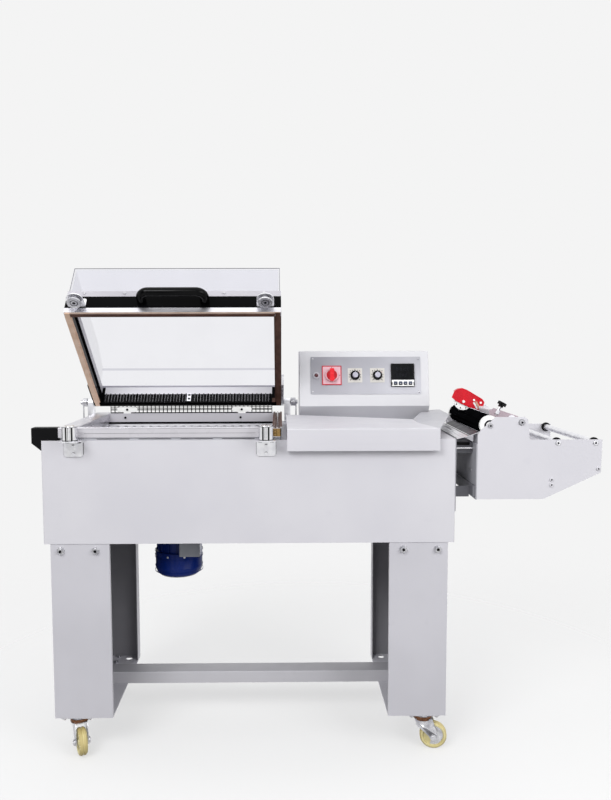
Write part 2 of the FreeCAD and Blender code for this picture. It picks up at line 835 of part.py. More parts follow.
def motor_body():
    """Finned motor frame with its flange, the standoffs to the chamber and the terminal box."""
    x, y = motor_offset_x, chamber_middle_y
    top = motor_top()
    cowl_top = cowl_bottom() + motor_cowl_height
    bottom = cowl_top - 16
    core = cylinder(motor_radius - motor_fin_height, (x, y, bottom), (x, y, top - motor_flange_thickness))
    fins = []
    for i in range(motor_fin_count):
        fin = box(x + motor_radius - motor_fin_height - 2, x + motor_radius, y - 1.6, y + 1.6,
                  cowl_top + 1, top - motor_flange_thickness)
        fins.append(turned(fin, 360.0 / motor_fin_count * (i + 0.5), (x, y, 0), (0, 0, 1)))
    side = motor_radius + 8
    flange = box(x - side, x + side, y - side, y + side, top - motor_flange_thickness, top)
    flange = rounded(flange, 14, lambda e: runs_along(e, (0, 0, 1)))
    posts = [cylinder(6, (x + sx * (side - 13), y + sy * (side - 13), top),
                      (x + sx * (side - 13), y + sy * (side - 13), chamber_floor - liner_sheet))
             for sx in (-1, 1) for sy in (-1, 1)]
    bx = x + terminal_offset
    wiring = box(bx - terminal_box_width / 2.0, bx + terminal_box_width / 2.0,
                 y - motor_radius - terminal_box_depth, y - motor_radius + 30,
                 cowl_top + terminal_cowl_gap, cabinet_bottom - terminal_gap)
    wiring = rounded(wiring, 5, lambda e: runs_along(e, (0, 0, 1)) and e.CenterOfMass.y < y - motor_radius)
    bore = cylinder(shaft_radius + shaft_clearance, (x, y, top - 91), (x, y, top + 1))
    return joined([core, flange, wiring] + fins + posts).cut(bore)


def motor_cowl():
    """Pressed fan cowl over the motor's lower end, turned from one profile with two bead lines."""
    x, y = motor_offset_x, chamber_middle_y
    z0, z1 = cowl_bottom(), cowl_bottom() + motor_cowl_height
    r, t = motor_cowl_radius, motor_cowl_wall
    outer = [(0, z0), (r - 26, z0), (r - 14, z0 + 3), (r - 6, z0 + 10), (r - 1.5, z0 + 22), (r, z0 + 28),
             (r, z0 + 30), (r - 1.5, z0 + 32), (r - 1.5, z1)]
    inner = [(pr - t, pz + (t if pz < z0 + 12 else 0)) for pr, pz in reversed(outer[1:])]
    inner[-1] = (inner[-1][0], z0 + t)
    section = face_of([(x + pr, y, pz) for pr, pz in outer + inner + [(0, z0 + t)]])
    cowl = section.revolve(V(x, y, 0), V(0, 0, 1), 360)
    vents = []
    for ring, count in ((16.0, 6), (32.0, 10)):
        for i in range(count):
            a = 2 * math.pi * i / count
            px, py = x + ring * math.cos(a), y + ring * math.sin(a)
            vents.append(cylinder(4.0, (px, py, z0 - 1), (px, py, z0 + 3 * t)))
    seat = tube(r - 1.5 - t, motor_radius - motor_fin_height, (x, y, z1 - 14), (x, y, z1 - 4))
    return joined([cowl.cut(vents), seat])


# Hold-down magnets

def magnet_parts(x):
    """Round electromagnet on a folded bracket that is screwed to the cabinet's front."""
    t = magnet_plate_thickness
    y_plate = -t
    z1 = table_height + magnet_plate_rise
    z0 = z1 - magnet_plate_height
    half = magnet_plate_width / 2.0
    plate = box(x - half, x + half, y_plate, 0, z0, z1)
    plate = rounded(plate, 9, lambda e: runs_along(e, (0, 1, 0)) and e.CenterOfMass.z < z0 + 1)
    shelf_y = -magnet_reach - magnet_radius
    shelf = box(x - half, x + half, shelf_y, y_plate, z1 - t, z1)
    shelf = rounded(shelf, 12, lambda e: runs_along(e, (0, 0, 1)) and e.CenterOfMass.y < shelf_y + 1)
    coil_bottom = z1
    coil_top = coil_bottom + magnet_height
    coil = cylinder(magnet_radius, (x, -magnet_reach, coil_bottom), (x, -magnet_reach, coil_top))
    rim = tube(magnet_radius + 0.1, magnet_radius - 4, (x, -magnet_reach, coil_top - 1.5),
               (x, -magnet_reach, coil_top + 0.1))
    coil = coil.cut(rim)
    screws = [cylinder(4.0, (x, y_plate - 2.5, z), (x, y_plate, z)) for z in (z1 - 20, z1 - 40)]
    return [joined([plate, shelf] + screws), coil]


def electromagnets():
    return group(magnet_parts(magnet_left_x) + magnet_parts(magnet_right_x))


def magnet_top():
    return table_height + magnet_plate_rise + magnet_height


# Hood, modelled closed and then opened about the pivot

def opened(shape):
    return turned(shape, -hood_open_angle, (pivot.x, pivot.y, pivot.z), (1, 0, 0))


def hood_ring(thickness, z0, z1, inset=0.0):
    """Four bars round the hood: front and rear full width, sides between them."""
    x0, x1 = hood_left + inset, hood_right - inset
    y0, y1 = hood_front + inset, hood_rear - inset
    t = thickness
    return [box(x0, x1, y0, y0 + t, z0, z1), box(x0, x1, y1 - t, y1, z0, z1),
            box(x0, x0 + t, y0 + t, y1 - t, z0, z1), box(x1 - t, x1, y0 + t, y1 - t, z0, z1)]


def hood_bars():
    """Black hollow bars that carry the jaws below and the clear cover above."""
    bars = hood_ring(hood_bar_thickness, hood_bar_bottom, hood_bar_top)
    front = rounded(bars[0], 2, lambda e: runs_along(e, (1, 0, 0)) and e.CenterOfMass.y < hood_front + 1)
    return opened(group([front] + bars[1:]))


def hood_trim():
    """Aluminium jaw strips under the bars and the clamping strips that hold the cover."""
    jaws = hood_ring(hood_bar_thickness, hood_bottom, hood_bar_bottom)
    t = hood_cover_inset
    clamps = hood_ring(t, hood_bar_top, hood_clamp_top)
    return opened(group([joined(jaws), joined(clamps)]))


def seal_pads():
    """Heat-proof tape pads under the front, left and right jaws."""
    z0, z1 = hood_bottom - pad_thickness, hood_bottom
    x0, x1 = hood_left + 2, hood_right - 2
    y0 = hood_front + 8
    front = box(x0 + pad_width + 1, x1 - pad_width - 1, y0, y0 + 10, z0, z1)
    left = box(x0, x0 + pad_width, hood_front + 3, hood_rear - 3, z0, z1)
    right = box(x1 - pad_width, x1, hood_front + 3, hood_rear - 3, z0, z1)
    return opened(group([front, left, right]))


def cover_outline(offset):
    """Side profile of the clear cover, from the front foot over the top to the rear foot."""
    y0 = hood_front + hood_cover_inset + offset
    y1 = hood_rear - hood_cover_inset - offset
    z0 = hood_bar_top
    top = hood_bottom + hood_total_height - offset
    rear = hood_bottom + hood_rear_wall_height - offset
    return [(y0, z0), (y0, top), (hood_front + hood_top_slope_start, top), (y1, rear), (y1, z0)]


def hood_cover():
    """One clear shell, open below, bent from sheet with closed ends."""
    t = hood_cover_wall
    x0, x1 = hood_left + hood_cover_inset, hood_right - hood_cover_inset
    outer = profile_x(cover_outline(0), x0, x1)
    outer = rounded(outer, hood_cover_bend,
                    lambda e: runs_along(e, (1, 0, 0)) and e.CenterOfMass.z > hood_clamp_top)
    inner = profile_x([(y, z - 1 if z == hood_bar_top else z) for y, z in cover_outline(t)], x0 + t, x1 - t)
    return opened(outer.cut(inner))


def hood_handle():
    """Bridge handle bolted to the front bar: round grip, bent ends and two feet."""
    middle = (hood_left + hood_right) / 2.0
    z = (hood_bar_bottom + hood_bar_top) / 2.0
    r = handle_radius
    half = handle_span / 2.0
    y_face = hood_front
    y_grip = y_face - handle_reach
    bend = handle_reach - r * 0.2
    xa, xb = middle - half + r, middle + half - r
    path = Part.Wire([
        Part.LineSegment(V(xa, y_face, z), V(xa, y_grip + bend * 0.6, z)).toShape(),
        Part.Arc(V(xa, y_grip + bend * 0.6, z), V(xa + bend * 0.176, y_grip + bend * 0.176, z),
                 V(xa + bend * 0.6, y_grip, z)).toShape(),
        Part.LineSegment(V(xa + bend * 0.6, y_grip, z), V(xb - bend * 0.6, y_grip, z)).toShape(),
        Part.Arc(V(xb - bend * 0.6, y_grip, z), V(xb - bend * 0.176, y_grip + bend * 0.176, z),
                 V(xb, y_grip + bend * 0.6, z)).toShape(),
        Part.LineSegment(V(xb, y_grip + bend * 0.6, z), V(xb, y_face, z)).toShape(),
    ])
    circle = Part.Wire([Part.makeCircle(handle_radius, V(xa, y_face, z), V(0, -1, 0))])
    bar_side = box(xa - 2 * r, xb + 2 * r, y_face, y_face + r, z - 2 * r, z + 2 * r)
    return opened(path.makePipeShell([circle], True, True).cut(bar_side))


def armature_parts(x):
    """Steel disc that meets a magnet, under a round-nosed bracket screwed to the hood's front bar."""
    z0 = magnet_top() + armature_air_gap
    z1 = z0 + armature_thickness
    y = -magnet_reach
    half = armature_plate_width / 2.0
    t = magnet_plate_thickness
    shelf_z = hood_bar_bottom + t
    disc = cylinder(armature_radius, (x, y, z0), (x, y, z1))
    stud = cylinder(armature_stud_radius, (x, y, z1), (x, y, shelf_z + t + armature_stud_radius))
    nose = cylinder(half, (x, y, shelf_z), (x, y, shelf_z + t))
    shelf = box(x - half, x + half, y, hood_front, shelf_z, shelf_z + t)
    wall = box(x - half, x + half, hood_front - t, hood_front, shelf_z, shelf_z + armature_foot_height)
    wall = rounded(wall, 6, lambda e: runs_along(e, (0, 1, 0)) and e.CenterOfMass.z > shelf_z + t)
    return [joined([disc, stud, nose, shelf, wall])]


def armature_plates():
    places = (magnet_left_x - armature_shift, magnet_right_x - armature_right_shift)
    return opened(group(armature_parts(places[0]) + armature_parts(places[1])))


def hinge_arms():
    """Side arms along the rear of the hood, each with its pivot pin."""
    arms = []
    for side, x_face in ((-1, hood_left), (1, hood_right)):
        x0, x1 = sorted((x_face, x_face + side * hinge_arm_sheet))
        y_end = hood_rear - hinge_arm_reach
        low, high = hood_bar_bottom - 6, hood_bar_top - 6
        arm = profile_x([(y_end, low), (hood_rear + 4, low), (pivot.y, pivot.z - hinge_lug_radius),
                         (pivot.y, pivot.z + hinge_lug_radius), (hood_rear - 8, high), (y_end, high)], x0, x1)
        eye = cylinder(hinge_lug_radius, (x0, pivot.y, pivot.z), (x1, pivot.y, pivot.z))
        x_far = x_face + side * (hinge_arm_sheet + hinge_side_gap + hinge_bracket_width + pin_stub)
        pin = cylinder(pivot_pin_radius, (x_face + side * 1.0, pivot.y, pivot.z), (x_far, pivot.y, pivot.z))
        arms.append(joined([arm, eye, pin]))
    return opened(group(arms))


def hinge_brackets():
    """Lug bracket for each pivot pin, with a foot bolted to the table."""
    brackets = []
    for side, x_face in ((-1, hood_left), (1, hood_right)):
        xa = x_face + side * (hinge_arm_sheet + hinge_side_gap)
        xb = xa + side * hinge_bracket_width
        x0, x1 = min(xa, xb), max(xa, xb)
        y0, y1 = pivot.y - hinge_lug_radius, pivot.y + hinge_lug_radius
        lug = box(x0, x1, y0, y1, table_height, pivot.z)
        eye = cylinder(hinge_lug_radius, (x0, pivot.y, pivot.z), (x1, pivot.y, pivot.z))
        foot = box(x0, x1, cabinet_depth - 2 - hinge_foot_length, cabinet_depth - 2,
                   table_height, table_height + hinge_foot_thickness)
        bore = cylinder(pivot_pin_radius + running_clearance,
                        (x0 - 1, pivot.y, pivot.z), (x1 + 1, pivot.y, pivot.z))
        brackets.append(joined([lug, eye, foot]).cut(bore))
    return group(brackets)


def hood_comb():
    """Black panel with a row of upright teeth inside the hood's rear bar, a clip on it and a strip above it."""
    y1 = hood_rear - hood_bar_thickness
    y0 = y1 - comb_depth
    x0, x1 = hood_left + hood_bar_thickness + 10, hood_right - hood_bar_thickness - 10
    z0, z1 = hood_bar_bottom - comb_drop, hood_bar_top - comb_top_drop
    half = comb_tooth_width / 2.0
    panel = box(x0, x1, y1 - comb_sheet, y1, z0, z1)
    teeth = [box(x - half, x + half, y0, y1, z0, z1) for x in grid(x0 + 6, x1 - 6, comb_pitch)]
    strip = box(x0, x1, y1 - comb_sheet, y1, z1, hood_bar_top)
    clip_x = hood_left + comb_clip_x
    clip_y = y0 - comb_clip_thickness
    clip = box(clip_x, clip_x + comb_clip_width, clip_y, y0, z0 + 2, z1)
    windows = [box(clip_x + 3, clip_x + comb_clip_width - 2, clip_y - 1, y0 + 1, z, z + 8)
               for z in grid(z0 + 7, z1 - 12, 14)]
    return opened(group([joined([panel] + teeth), strip, clip.cut(windows)]))


def rear_guard():
    """Wire mesh that stands on the rear bar, held by two rounded clamp plates."""
    y = chamber_rear + 5
    z0 = seal_top
    x0, x1 = chamber_left + 2, chamber_right - 4
    w = guard_wire
    wires = [box(x0, x1, y, y + w, z, z + w) for z in (z0, z0 + guard_height / 3.0,
                                                       z0 + 2 * guard_height / 3.0, z0 + guard_height - w)]
    wires += [box(x, x + w, y, y + w, z0, z0 + guard_height) for x in grid(x0, x1 - w, guard_wire_pitch)]
    clamps = []
    for x in ((chamber_left + 56), (chamber_right - 102)):
        r = clamp_plate_height / 2.0
        z = z0 + 4 + r
        half = clamp_plate_length / 2.0
        plate = box(x - half + r, x + half - r, y - 4, y, z - r, z + r)
        ends = [cylinder(r, (x + s * (half - r), y - 4, z), (x + s * (half - r), y, z)) for s in (-1, 1)]
        foot = box(x - 12, x + 12, y - 4, y, z0, z - r + 2)
        screw = cylinder(3.5, (x, y - 6, z), (x, y - 4, z))
        clamps.append(joined([plate, foot, screw] + ends))
    return group([joined(wires)] + clamps)


def hinge_springs():
    """Close-wound torsion spring round each pivot pin, outside its bracket, with a leg down to the table."""
    springs = []
    inner, outer = spring_radius - spring_wire / 2.0, spring_radius + spring_wire / 2.0
    length = spring_turns * spring_wire
    reach = hinge_arm_sheet + hinge_side_gap + hinge_bracket_width + spring_side_gap
    for x0, leg_x in ((hood_left - reach - length, hood_left - reach - length - spring_wire),
                      (hood_right + reach, hood_right + reach + length)):
        profile = [(x0, inner)]
        for x in grid(x0, x0 + length - spring_wire, spring_wire):
            profile += [(x, outer - spring_bead_edge), (x + spring_bead_edge, outer),
                        (x + spring_wire - spring_bead_edge, outer)]
        profile += [(x0 + length, outer - spring_bead_edge), (x0 + length, inner)]
        section = face_of([(x, pivot.y + r, pivot.z) for x, r in profile])
        coil = section.revolve(V(0, pivot.y, pivot.z), V(1, 0, 0), 360)
        leg = box(leg_x, leg_x + spring_wire, pivot.y + inner, pivot.y + outer, table_height, pivot.z)
        springs.append(group([coil, leg]))
    return group(springs)


# Left side cover

def side_cover():
    """Moulded end cap for the frame's wiring: a hook over the table's left edge, open at its back."""
    t = cabinet_sheet
    z1 = table_height + side_cover_rise
    z0 = z1 - side_cover_height
    w = side_cover_width
    right = seal_frame_left - side_cover_gap
    y1 = side_cover_depth
    outer = profile_y([(-w, z1), (right, z1), (right, table_height), (0, table_height),
                       (0, z0), (-w, z0 + side_cover_slant)], 0, y1)
    outer = rounded(outer, 3, lambda e: runs_along(e, (0, 1, 0)) and e.CenterOfMass.z > z1 - 1)
    inner = profile_y([(t - w, z1 - t), (right - t, z1 - t), (right - t, table_height + t),
                       (-t, table_height + t), (-t, z0 + 2 * t), (t - w, z0 + side_cover_slant + t)], t, y1 + 1)
    return outer.cut(inner)


# Control box

def control_profile(inset):
    y_top = control_crease_y + control_lean
    y_back = y_top + control_top_depth
    crease = table_height + control_crease_rise
    top = table_height + control_height
    i = inset
    return [(control_crease_y + i, crease), (y_top + i, top - i), (y_back - i, top - i),
            (y_back - i, table_height + i), (control_base_y + i, table_height + i)]


def control_box():
    """Leaning console, folded from sheet, with its under-chin set back to the table."""
    x0, x1 = control_left, control_left + control_width
    t = control_sheet
    outer = profile_x(control_profile(0), x0, x1)
    outer = rounded(outer, 3, lambda e: e.CenterOfMass.z > table_height + 20)
    inner = profile_x(control_profile(t), x0 + t, x1 - t)
    back = meter_seat_tools()
    return outer.cut([inner] + back)


def on_panel(shape):
    """Place a fitting drawn on the upright plane Y=0 (front faces -Y) onto the leaning face."""
    lean = math.degrees(math.atan2(control_lean, control_height - control_crease_rise))
    base = V(0, control_crease_y, table_height + control_crease_rise)
    copy = shape.copy()
    copy.rotate(V(0, 0, 0), V(1, 0, 0), -lean)
    copy.translate(base)
    return copy


def meter_seat_tools():
    x = control_left + meter_x
    half = meter_size / 2.0 - 3.0
    z = controls_height
    return [on_panel(box(x - half, x + half, -1, control_sheet * 3, z - half, z + half))]


def control_panel():
    """Panel plate with its corner screws, the square plates of switch and dials, and the lamp."""
    x0 = control_left + panel_left_margin
    x1 = x0 + panel_width
    z0 = panel_centre_height - panel_height / 2.0
    z1 = z0 + panel_height
    t = panel_thickness
    plate = box(x0, x1, -t, 0, z0, z1)
    plate = rounded(plate, 3, lambda e: runs_along(e, (0, 1, 0)))
    xm = control_left + meter_x
    half = meter_size / 2.0 - 3.0
    plate = plate.cut(box(xm - half, xm + half, -t - 1, 1, controls_height - half, controls_height + half))
    screws = [cylinder(panel_screw_radius, (x, -t - 1.2, z), (x, -t, z))
              for x in (x0 + 7, x1 - 7) for z in (z0 + 7, z1 - 7)]
    xs = control_left + switch_plate_x
    h = switch_plate_size / 2.0
    switch_plate = box(xs - h, xs + h, -t - 3, -t, controls_height - h, controls_height + h)
    switch_plate = rounded(switch_plate, 3, lambda e: runs_along(e, (0, 1, 0)))
    half = dial_plate_size / 2.0
    plates = []
    for i in range(2):
        x = control_left + dial_x + i * dial_pitch
        plates.append(box(x - half, x + half, -t - dial_plate_thickness, -t,
                          controls_height - half, controls_height + half))
    xl = control_left + lamp_x
    lamp = cylinder(lamp_radius, (xl, -t - 4, controls_height), (xl, -t, controls_height))
    lens = Part.makeSphere(lamp_radius * 0.8, V(xl, -t - 4, controls_height))
    lens = lens.common(box(xl - 20, xl + 20, -t - 20, -t - 4, controls_height - 20, controls_height + 20))
    return group([on_panel(s) for s in [plate, switch_plate, joined([lamp, lens])] + plates + screws])


def temperature_meter():
    """Square panel meter: bezel, recessed display window and a body inside the box."""
    x = control_left + meter_x
    half = meter_size / 2.0
    z = controls_height
    t = panel_thickness
    bezel = box(x - half, x + half, -t - meter_bezel, -t, z - half, z + half)
    bezel = rounded(bezel, 2, lambda e: e.CenterOfMass.y < -t - 1)
    window = box(x - half + 5, x + half - 5, -t - meter_bezel - 1, -t - meter_bezel + 1.5, z - 1, z + half - 5)
    pockets = []
    for kx, kz in key_centres():
        w, h = key_width / 2.0 + key_side_gap, key_height / 2.0 + key_side_gap
        pockets.append(box(control_left + kx - w, control_left + kx + w, -t - meter_bezel - 1,
                           -t - meter_bezel + key_pocket_depth, kz - h, kz + h))
    inside = half - 3.4
    body = box(x - inside, x + inside, -t, meter_depth, z - inside, z + inside)
    return on_panel(joined([bezel.cut([window] + pockets), body]))


def key_centres():
    z = controls_height - meter_size / 2.0 + 5 + (key_height + 6) / 2.0
    return [(meter_x + (i - 1.5) * key_pitch, z) for i in range(4)]


def meter_key(index):
    x, z = key_centres()[index]
    x += control_left
    front = -panel_thickness - meter_bezel - key_proud
    back = -panel_thickness - meter_bezel + key_pocket_depth - key_travel - key_gap
    key = box(x - key_width / 2.0, x + key_width / 2.0, front, back, z - key_height / 2.0, z + key_height / 2.0)
    key = rounded(key, 1.2, lambda e: runs_along(e, (0, 1, 0)))
    return on_panel(key)


def switch_knob():
    """Rotary switch handle: round base with a raised grip bar."""
    x = control_left + switch_plate_x
    z = controls_height
    y = -panel_thickness - 3 - knob_gap
    base = cylinder(switch_knob_radius, (x, y - 6, z), (x, y, z))
    reach = switch_knob_radius - 1
    bar = box(x - 7, x + 7, y - switch_knob_height, y - 6, z - reach, z + reach)
    bar = rounded(bar, 4, lambda e: runs_along(e, (0, 1, 0)))
    return on_panel(joined([base, bar]))


def dial_knob(index):
    """Control knob: a wide scale skirt, a narrow cap and a pointer rib."""
    x = control_left + dial_x + index * dial_pitch
    z = controls_height
    y = -panel_thickness - dial_plate_thickness - knob_gap
    skirt = cylinder(dial_skirt_radius, (x, y - dial_skirt_height, z), (x, y, z))
    cap = cylinder(dial_cap_radius, (x, y - dial_knob_height, z), (x, y - dial_skirt_height, z))
    rib = box(x - 0.9, x + 0.9, y - dial_knob_height - 1, y - dial_skirt_height, z + 1, z + dial_cap_radius + 2)
    return on_panel(joined([skirt, cap, rib]))


# Product tray

def tray_plan():
    x0, x1 = tray_left, tray_left + tray_width
    y0 = tray_front
    return [(x0, y0), (x1, y0), (x1 - tray_fold_shift, y0 + tray_fold_length),
            (x1 - tray_fold_shift, y0 + tray_right_depth),
            (x0, y0 + tray_left_depth)]


def inlet_height(x, y):
    """Height of the film inlet plate's underside: it rises to the right and slightly to the back."""
    x1 = tray_left + tray_width
    return table_height + tray_rise + inlet_rise_x * (x - x1) + inlet_rise_y * (y - tray_front)


def product_tray():
    """Tray folded from sheet: deck with slanted edges, walls, hanging apron; and the film inlet plate."""
    t = tray_sheet
    x0, x1 = tray_left, tray_left + tray_width
    y0 = tray_front
    z1 = table_height + tray_rise
    plan = face_of([(x, y, table_height) for x, y in tray_plan()])
    outer = plan.extrude(V(0, 0, tray_rise))
    inner = moved(plan.makeOffset2D(-t), z=-1).extrude(V(0, 0, tray_rise - t + 1))
    apron = box(x0, x1, y0, 0, z1 - tray_apron_height, table_height + t)
    apron_inner = box(x0 + t, x1 - t, y0 + t, 1, z1 - tray_apron_height + t, table_height + 2 * t)
    skin = joined([outer, apron]).cut([inner, apron_inner])
    skin = rounded(skin, 2.0, lambda e: runs_along(e, (1, 0, 0)) and e.CenterOfMass.z > z1 - 0.1
                   and e.CenterOfMass.y < y0 + 0.1)
    rear = unwinder_front + unwinder_span - 2
    shift = tray_fold_shift
    start = shift * t / tray_fold_length
    beside = control_left + control_width + 1
    corners = [(x1 - start, y0 + t), (x1 + inlet_reach, rear - inlet_side_depth), (x1 + inlet_reach, rear),
               (beside, rear), (beside, control_crease_y), (x1 + 16, control_crease_y),
               (x1 - shift, y0 + tray_right_depth - 10),
               (x1 - shift, y0 + tray_fold_length)]
    inlet = prism([(x, y, inlet_height(x, y) - inlet_drop - t) for x, y in corners], (0, 0, t))
    return group([skin, inlet])


# Film unwinder

def unwinder_outline():
    """Plate outline seen from the front, clockwise from the low left corner."""
    x0 = unwinder_left
    x1 = x0 + unwinder_width
    return [(x0, unwinder_bottom), (x0, unwinder_top - unwinder_flange_drop),
            (x0 + 7, unwinder_top - 38), (x0 + 49, unwinder_top),
            (x0 + 128, unwinder_top), (x0 + 136, unwinder_top - 7), (x0 + 142, unwinder_shoulder),
            (x1, unwinder_shoulder), (x1 - 2, unwinder_bottom + 72), (x0 + 182, unwinder_bottom)]


def shaft_centres():
    """Centres of everything that passes through both plates, with the hole radius each needs."""
    return [((feed_roller_x, feed_roller_z), roller_pin_radius + running_clearance),
            ((film_roller_x, film_roller_z), roller_pin_radius + running_clearance),
            ((film_roller_x + film_roller_pitch, film_roller_z), roller_pin_radius + running_clearance),
            ((perforator_pivot_x, perforator_pivot_z), roller_pin_radius + running_clearance)]


def unwinder_plate(y0, flange_back):
    t = unwinder_sheet
    plate = profile_y(unwinder_outline(), y0, y0 + t)
    fy0, fy1 = (y0, y0 + unwinder_flange) if flange_back > 0 else (y0 + t - unwinder_flange, y0 + t)
    flange = box(unwinder_left, unwinder_left + t, fy0, fy1, unwinder_bottom,
                 unwinder_top - unwinder_flange_drop)
    holes = [cylinder(r, (x, y0 - 1, z), (x, y0 + t + 1, z)) for (x, z), r in shaft_centres()]
    return joined([plate, flange]).cut(holes)


def unwinder_rear_y():
    return unwinder_front + unwinder_span


def unwinder_front_plate():
    return unwinder_plate(unwinder_front, 1)


def unwinder_rear_plate():
    return unwinder_plate(unwinder_rear_y(), -1)


def tie_bar_places():
    x = unwinder_left + tie_bar_inset
    z = unwinder_bottom + tie_bar_lift
    return ((unwinder_left + unwinder_width - tie_bar_end_margin, unwinder_bottom + tie_bar_end_lift),
            (x, z), (x, z + tie_bar_pitch))


def unwinder_tie_bars():
    """Round bars with screw heads that hold the two plates apart."""
    ya = unwinder_front + unwinder_sheet
    yb = unwinder_rear_y()
    solids = []
    for x, z in tie_bar_places():
        bar = cylinder(tie_bar_radius, (x, ya, z), (x, yb, z))
        heads = [cylinder(tie_screw_radius, (x, unwinder_front - 3, z), (x, unwinder_front, z)),
                 cylinder(tie_screw_radius, (x, yb + unwinder_sheet, z), (x, yb + unwinder_sheet + 3, z))]
        solids += [bar] + heads
    return solids


def unwinder_mount():
    """Plate on the cabinet's side, angle arms and the back sheet with its rail that the two plates hang on."""
    ya = unwinder_front
    yb = unwinder_rear_y() + unwinder_sheet
    x0 = cabinet_width
    x1 = x0 + mount_plate_thickness
    sheet_x = unwinder_left - back_sheet_thickness
    rail_x = sheet_x - rail_thickness
    low = unwinder_bottom - 1
    top = table_height - back_sheet_drop
    t = arm_sheet
    plate = box(x0, x1, 10, yb, table_height - mount_plate_drop, table_height - 1)
    sheet = box(sheet_x, unwinder_left, ya, yb, low, top)
    rail = box(rail_x, sheet_x, ya + 2, yb - 2, low + rail_lift, low + rail_lift + rail_height)
    pieces = [plate, sheet, rail]
    for y in (ya + unwinder_flange - 4, yb - unwinder_flange - 26):
        pieces.append(joined([box(x1, rail_x, y, y + t, low, low + rail_height),
                              box(x1, rail_x, y, y + 30, low, low + t)]))
        pieces.append(joined([box(x1, sheet_x, y, y + t, top - 30, top),
                              box(x1, sheet_x, y, y + 30, top - t, top)]))
    rod_z = top - guide_rod_drop
    rod_y = ya + unwinder_flange - 16
    pieces.append(cylinder(guide_rod_radius, (x1, rod_y, rod_z), (sheet_x, rod_y, rod_z)))
    return pieces


def film_guide():
    """Folded guide from the table's right edge up over the plate's flange to the feed roller."""
    t = guide_sheet
    xa, za = cabinet_width + guide_side_gap, table_height + 1.0
    xb, zb = xa + guide_lower_width, za + guide_lower_rise
    xc, zc = xb + guide_upper_width, zb + guide_upper_rise
    ya, yb = unwinder_front - 1, unwinder_front + guide_length
    strip = profile_y([(xa, za), (xb, zb), (xc, zc), (xc, zc - t), (xb + 0.5, zb - t), (xa, za - t)], ya, yb)
    holes = [cylinder(guide_hole_radius, ((xa + xb) / 2.0, y, za - 10), ((xa + xb) / 2.0, y, zb + 10))
             for y in grid(ya + 50, yb - 60, guide_hole_pitch)]
    feet = [box(xa, xa + 8, y, y + 14, table_height - 1, za) for y in (ya + 16, yb - 60)]
    return joined([strip] + feet).cut(holes)


def feed_roller():
    """Rubber feed roller with white end caps and a through shaft."""
    x, z = feed_roller_x, feed_roller_z
    ya = unwinder_front + unwinder_sheet + roller_end_gap
    yb = unwinder_rear_y() - roller_end_gap
    middle = (ya + feed_cap_length, yb - feed_cap_length)
    cover = tube(feed_roller_radius, feed_core_radius, (x, middle[0], z), (x, middle[1], z))
    core = tube(feed_core_radius, roller_pin_radius, (x, middle[0], z), (x, middle[1], z))
    caps = [tube(feed_roller_radius, roller_pin_radius, (x, a, z), (x, b, z))
            for a, b in ((ya, middle[0]), (middle[1], yb))]
    shaft = cylinder(roller_pin_radius, (x, unwinder_front - 3, z),
                     (x, unwinder_rear_y() + unwinder_sheet + 3, z))
    return group([joined([cover, core])] + caps + [shaft])


def film_roller(index):
    """Cradle roller: tube on a shaft with a black collar near each end."""
    x = film_roller_x + index * film_roller_pitch
    z = film_roller_z
    ya = unwinder_front + unwinder_sheet + roller_end_gap
    yb = unwinder_rear_y() - roller_end_gap
    body = cylinder(film_roller_radius, (x, ya, z), (x, yb, z))
    shaft = cylinder(roller_pin_radius, (x, unwinder_front - 3, z),
                     (x, unwinder_rear_y() + unwinder_sheet + 3, z))
    body = joined([body, shaft])
    collars = [tube(film_collar_radius, film_roller_radius, (x, y, z), (x, y + film_collar_width, z))
               for y in (ya + 4, yb - 4 - film_collar_width)]
    return group([body] + collars)


def perforator_centre():
    """Centre of the pin wheel: it rests just clear of the feed roller."""
    reach = feed_roller_radius + perforator_wheel_radius + perforator_gap
    dx = perforator_wheel_x - feed_roller_x
    return V(perforator_wheel_x, perforator_wheel_y, feed_roller_z + math.sqrt(reach ** 2 - dx ** 2))


def perforator_wheel():
    """White wheel with a ring of round holes; short pins in its rim prick vent holes in the film."""
    c = perforator_centre()
    w = perforator_wheel_width / 2.0
    r = perforator_wheel_radius
    rim = r - perforator_pin_length
    disc = cylinder(rim, (c.x, c.y - w, c.z), (c.x, c.y + w, c.z))
    disc = disc.makeFillet(1.2, disc.Edges[:1] + disc.Edges[2:])
    cuts = [cylinder(wheel_pin_radius + running_clearance, (c.x, c.y - w - 1, c.z), (c.x, c.y + w + 1, c.z))]
    pins = []
    for i in range(perforator_hole_count):
        a = 2 * math.pi * (i + 0.5) / perforator_hole_count
        across, up = math.cos(a), math.sin(a)
        x, z = c.x + perforator_hole_circle * across, c.z + perforator_hole_circle * up
        cuts.append(cylinder(perforator_hole_radius, (x, c.y - w - 1, z), (x, c.y + w + 1, z)))
        pins.append(cylinder(1.0, (c.x + (rim - 2) * across, c.y, c.z + (rim - 2) * up),
                             (c.x + r * across, c.y, c.z + r * up)))
    return joined([disc] + pins).cut(cuts)


def guard_outline(c):
    """The guard seen from the front: round over the wheel, then tapering to the carrier's end."""
    return [(c.x + dx, c.z + dz) for dx, dz in (
        (-35, 12), (-27, 31), (-16, 38), (-3, 39.5), (11, 34), (56, 7), (63, -3), (58, -16), (47, -28),
        (37, -23), (19, -18.5), (-3, -8.5), (-22, 1))]


